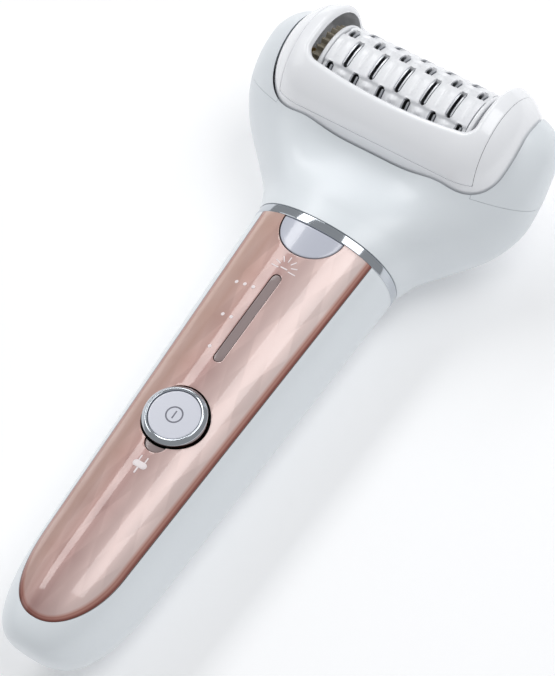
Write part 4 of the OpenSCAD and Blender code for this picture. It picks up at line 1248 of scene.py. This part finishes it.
# %% [markdown]
# The pearl face carries a power sign: a ring with a short bar in it. Both are
# bands of distance from the button's middle, printed in grey.
# %% Power sign
def power_sign():
    """The pearl finish with a grey ring and bar worked out from Object x and y."""
    material = finishes["button_face"].copy()
    material.name = "pearl_with_sign"
    tree = material.node_tree
    shader = tree.nodes["Principled BSDF"]
    base = shader.inputs["Base Color"].links[0].from_socket
    place = next(n for n in tree.nodes if n.type == "TEX_COORD")
    split = add(tree, "ShaderNodeSeparateXYZ")
    tree.links.new(place.outputs["Object"], split.inputs[0])
    x, y = split.outputs[0], split.outputs[1]
    away = math_node(tree, "SQRT", math_node(tree, "ADD", math_node(tree, "MULTIPLY", x, x),
                                             math_node(tree, "MULTIPLY", y, y)))
    band = math_node(tree, "ABSOLUTE", math_node(tree, "SUBTRACT", away, 0.00175))
    ring = math_node(tree, "LESS_THAN", band, 0.00017)
    thin = math_node(tree, "LESS_THAN", math_node(tree, "ABSOLUTE", x), 0.00016)
    short = math_node(tree, "LESS_THAN", math_node(tree, "ABSOLUTE", y), 0.00095)
    bar_sign = math_node(tree, "MULTIPLY", thin, short)
    sign = math_node(tree, "MAXIMUM", ring, bar_sign)
    tree.links.new(mix_color(tree, sign, base, linear("#6E6F7C")), shader.inputs["Base Color"])
    return material


sign_finish = power_sign()


# %% [markdown]
# The drum's pads are white outside, and the bottoms of the slots are painted dark
# as shade, since they lie deep in the drum. Distance from the drum's axis tells them apart.
# %% Drum finish
def shaded_pad_finish():
    """White pads with painted shade: they turn dark below a radius from the drum's axis, as shade in the
    deep slots.
    """
    material = finishes["pad_white"].copy()
    material.name = "pads_and_slots"
    tree = material.node_tree
    shader = tree.nodes["Principled BSDF"]
    base = shader.inputs["Base Color"].links[0].from_socket
    place = next(n for n in tree.nodes if n.type == "TEX_COORD")
    centre = add(tree, "ShaderNodeMapping", vector_type="POINT")
    centre.inputs["Location"].default_value = (0, -axis_y * MM, -axis_z * MM)
    tree.links.new(place.outputs["Object"], centre.inputs["Vector"])
    split = add(tree, "ShaderNodeSeparateXYZ")
    tree.links.new(centre.outputs[0], split.inputs[0])
    y, z = split.outputs[1], split.outputs[2]
    away = math_node(tree, "SQRT", math_node(tree, "ADD", math_node(tree, "MULTIPLY", y, y),
                                             math_node(tree, "MULTIPLY", z, z)))
    # Painted shade: the slot bottoms turn dark by their distance from the axis, standing in for the shade
    # deep in the slots.
    slot_shade = math_node(tree, "DIVIDE", math_node(tree, "SUBTRACT", (drum_r - 0.75) * MM, away), 0.0009, True)
    tree.links.new(mix_color(tree, slot_shade, base, linear("#26272C")), shader.inputs["Base Color"])
    return material


shaded_pads_finish = shaded_pad_finish()

# %% [markdown]
# Every CAD node and every new piece now takes the finish of its slot. A piece
# with a special finish of its own is set afterwards.
# %% Finishes onto pieces
def paint(obj, material):
    """One finish on the whole piece."""
    obj.data.materials.clear()
    obj.data.materials.append(material)


for node, obj in frame["nodes"].items():
    paint(obj, finishes[slot_of[node]])
for obj in bpy.data.objects:
    if obj.type == "MESH" and "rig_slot" in obj and "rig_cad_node" not in obj:
        paint(obj, finishes[obj["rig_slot"]])
paint(face, sign_finish)
paint(pads, shaded_pads_finish)
paint(marks, finish("printed_ink", "#F3E9EA", 0.5))

# %% [markdown]
# A product picture of white plastic needs a bright, even room, so that the floor
# falls away to white, and a few large soft lights to draw the form. One long
# light lies so that the panel mirrors it as a bright streak down its left side.
# %% Floor, light and camera
floor_half = 3.0
floor_mesh = bpy.data.meshes.new("floor")
floor_mesh.from_pydata([(-floor_half, -floor_half, 0), (floor_half, -floor_half, 0),
                        (floor_half, floor_half, 0), (-floor_half, floor_half, 0)], [], [(0, 1, 2, 3)])
floor = bpy.data.objects.new("floor", floor_mesh)
bpy.context.scene.collection.objects.link(floor)
floor.location.z = cad_bounds[0][2] - 0.0002
paint(floor, finish("pale_floor", "#FCFCFD", 0.9, drift=0.0, change=0.0, bump=0.0))
floor_shader = floor.data.materials[0].node_tree.nodes["Principled BSDF"]
floor_shader.inputs["Emission Color"].default_value = (1, 1, 1, 1)
floor_shader.inputs["Emission Strength"].default_value = 0.12

world = bpy.data.worlds.new("room")
world.use_nodes = True
world.node_tree.nodes["Background"].inputs[0].default_value = (0.96, 0.98, 1.0, 1)
world.node_tree.nodes["Background"].inputs[1].default_value = 0.4
bpy.context.scene.world = world
bpy.context.scene.view_settings.view_transform = "Standard"

middle = Vector((0, ring_y * MM * 0.6, handle_t * MM))


def soft_light(name, way, distance, size, power, tint=(1, 1, 1)):
    """A large soft light that looks at the middle from a direction. Its second
    size lies as nearly as it can along the handle."""
    data = bpy.data.lights.new(name, "AREA")
    data.shape = "RECTANGLE"
    data.size, data.size_y = size
    data.energy = power
    data.color = tint
    lamp = bpy.data.objects.new(name, data)
    outward = Vector(way).normalized()
    sideways = Vector((0, 1, 0)).cross(outward).normalized()
    turn = Matrix((sideways, outward.cross(sideways), outward)).transposed().to_4x4()
    lamp.matrix_world = Matrix.Translation(middle + outward * distance) @ turn
    bpy.context.scene.collection.objects.link(lamp)
    return lamp


soft_light("top_light", (0.42, 0.35, 1.0), 1.1, (0.55, 0.9), 4.2)
soft_light("streak_light", (-0.53, 0.36, 0.76), 1.0, (0.2, 1.1), 3.2)
soft_light("left_light", (-1.0, -0.2, 0.7), 1.2, (0.5, 1.0), 1.2)

# %% [markdown]
# The camera looks down on the handle from its lower right, with a long lens so
# that the lines hardly converge. It is aimed by three directions: back towards
# the camera, and the picture's right and up, rolled so that the handle leans.
# %% Camera
azimuth, elevation, roll = (math.radians(v) for v in (45, 58.5, -13.2))
target = Vector((0, ring_y * MM, handle_t * MM))
distance = 0.655
focal_mm = 166.36
aim_x, aim_y = -0.0117, -0.0354     # where the picture's middle lies, as slopes from the target
back = Vector((math.sin(azimuth) * math.cos(elevation), -math.cos(azimuth) * math.cos(elevation),
               math.sin(elevation)))
right = Vector((math.cos(azimuth), math.sin(azimuth), 0))
up_way = back.cross(right)
rolled_right = right * math.cos(roll) + up_way * math.sin(roll)
rolled_up = up_way * math.cos(roll) - right * math.sin(roll)
look = (-back + rolled_right * aim_x + rolled_up * aim_y).normalized()
side_way = look.cross(rolled_up).normalized()
top_way = side_way.cross(look)
camera_data = bpy.data.cameras.new("camera")
camera_data.lens = focal_mm
camera_data.clip_start = 0.01
camera = bpy.data.objects.new("camera", camera_data)
turn = Matrix((side_way, top_way, -look)).transposed().to_4x4()
camera.matrix_world = Matrix.Translation(target + back * distance) @ turn
bpy.context.scene.collection.objects.link(camera)
bpy.context.scene.camera = camera
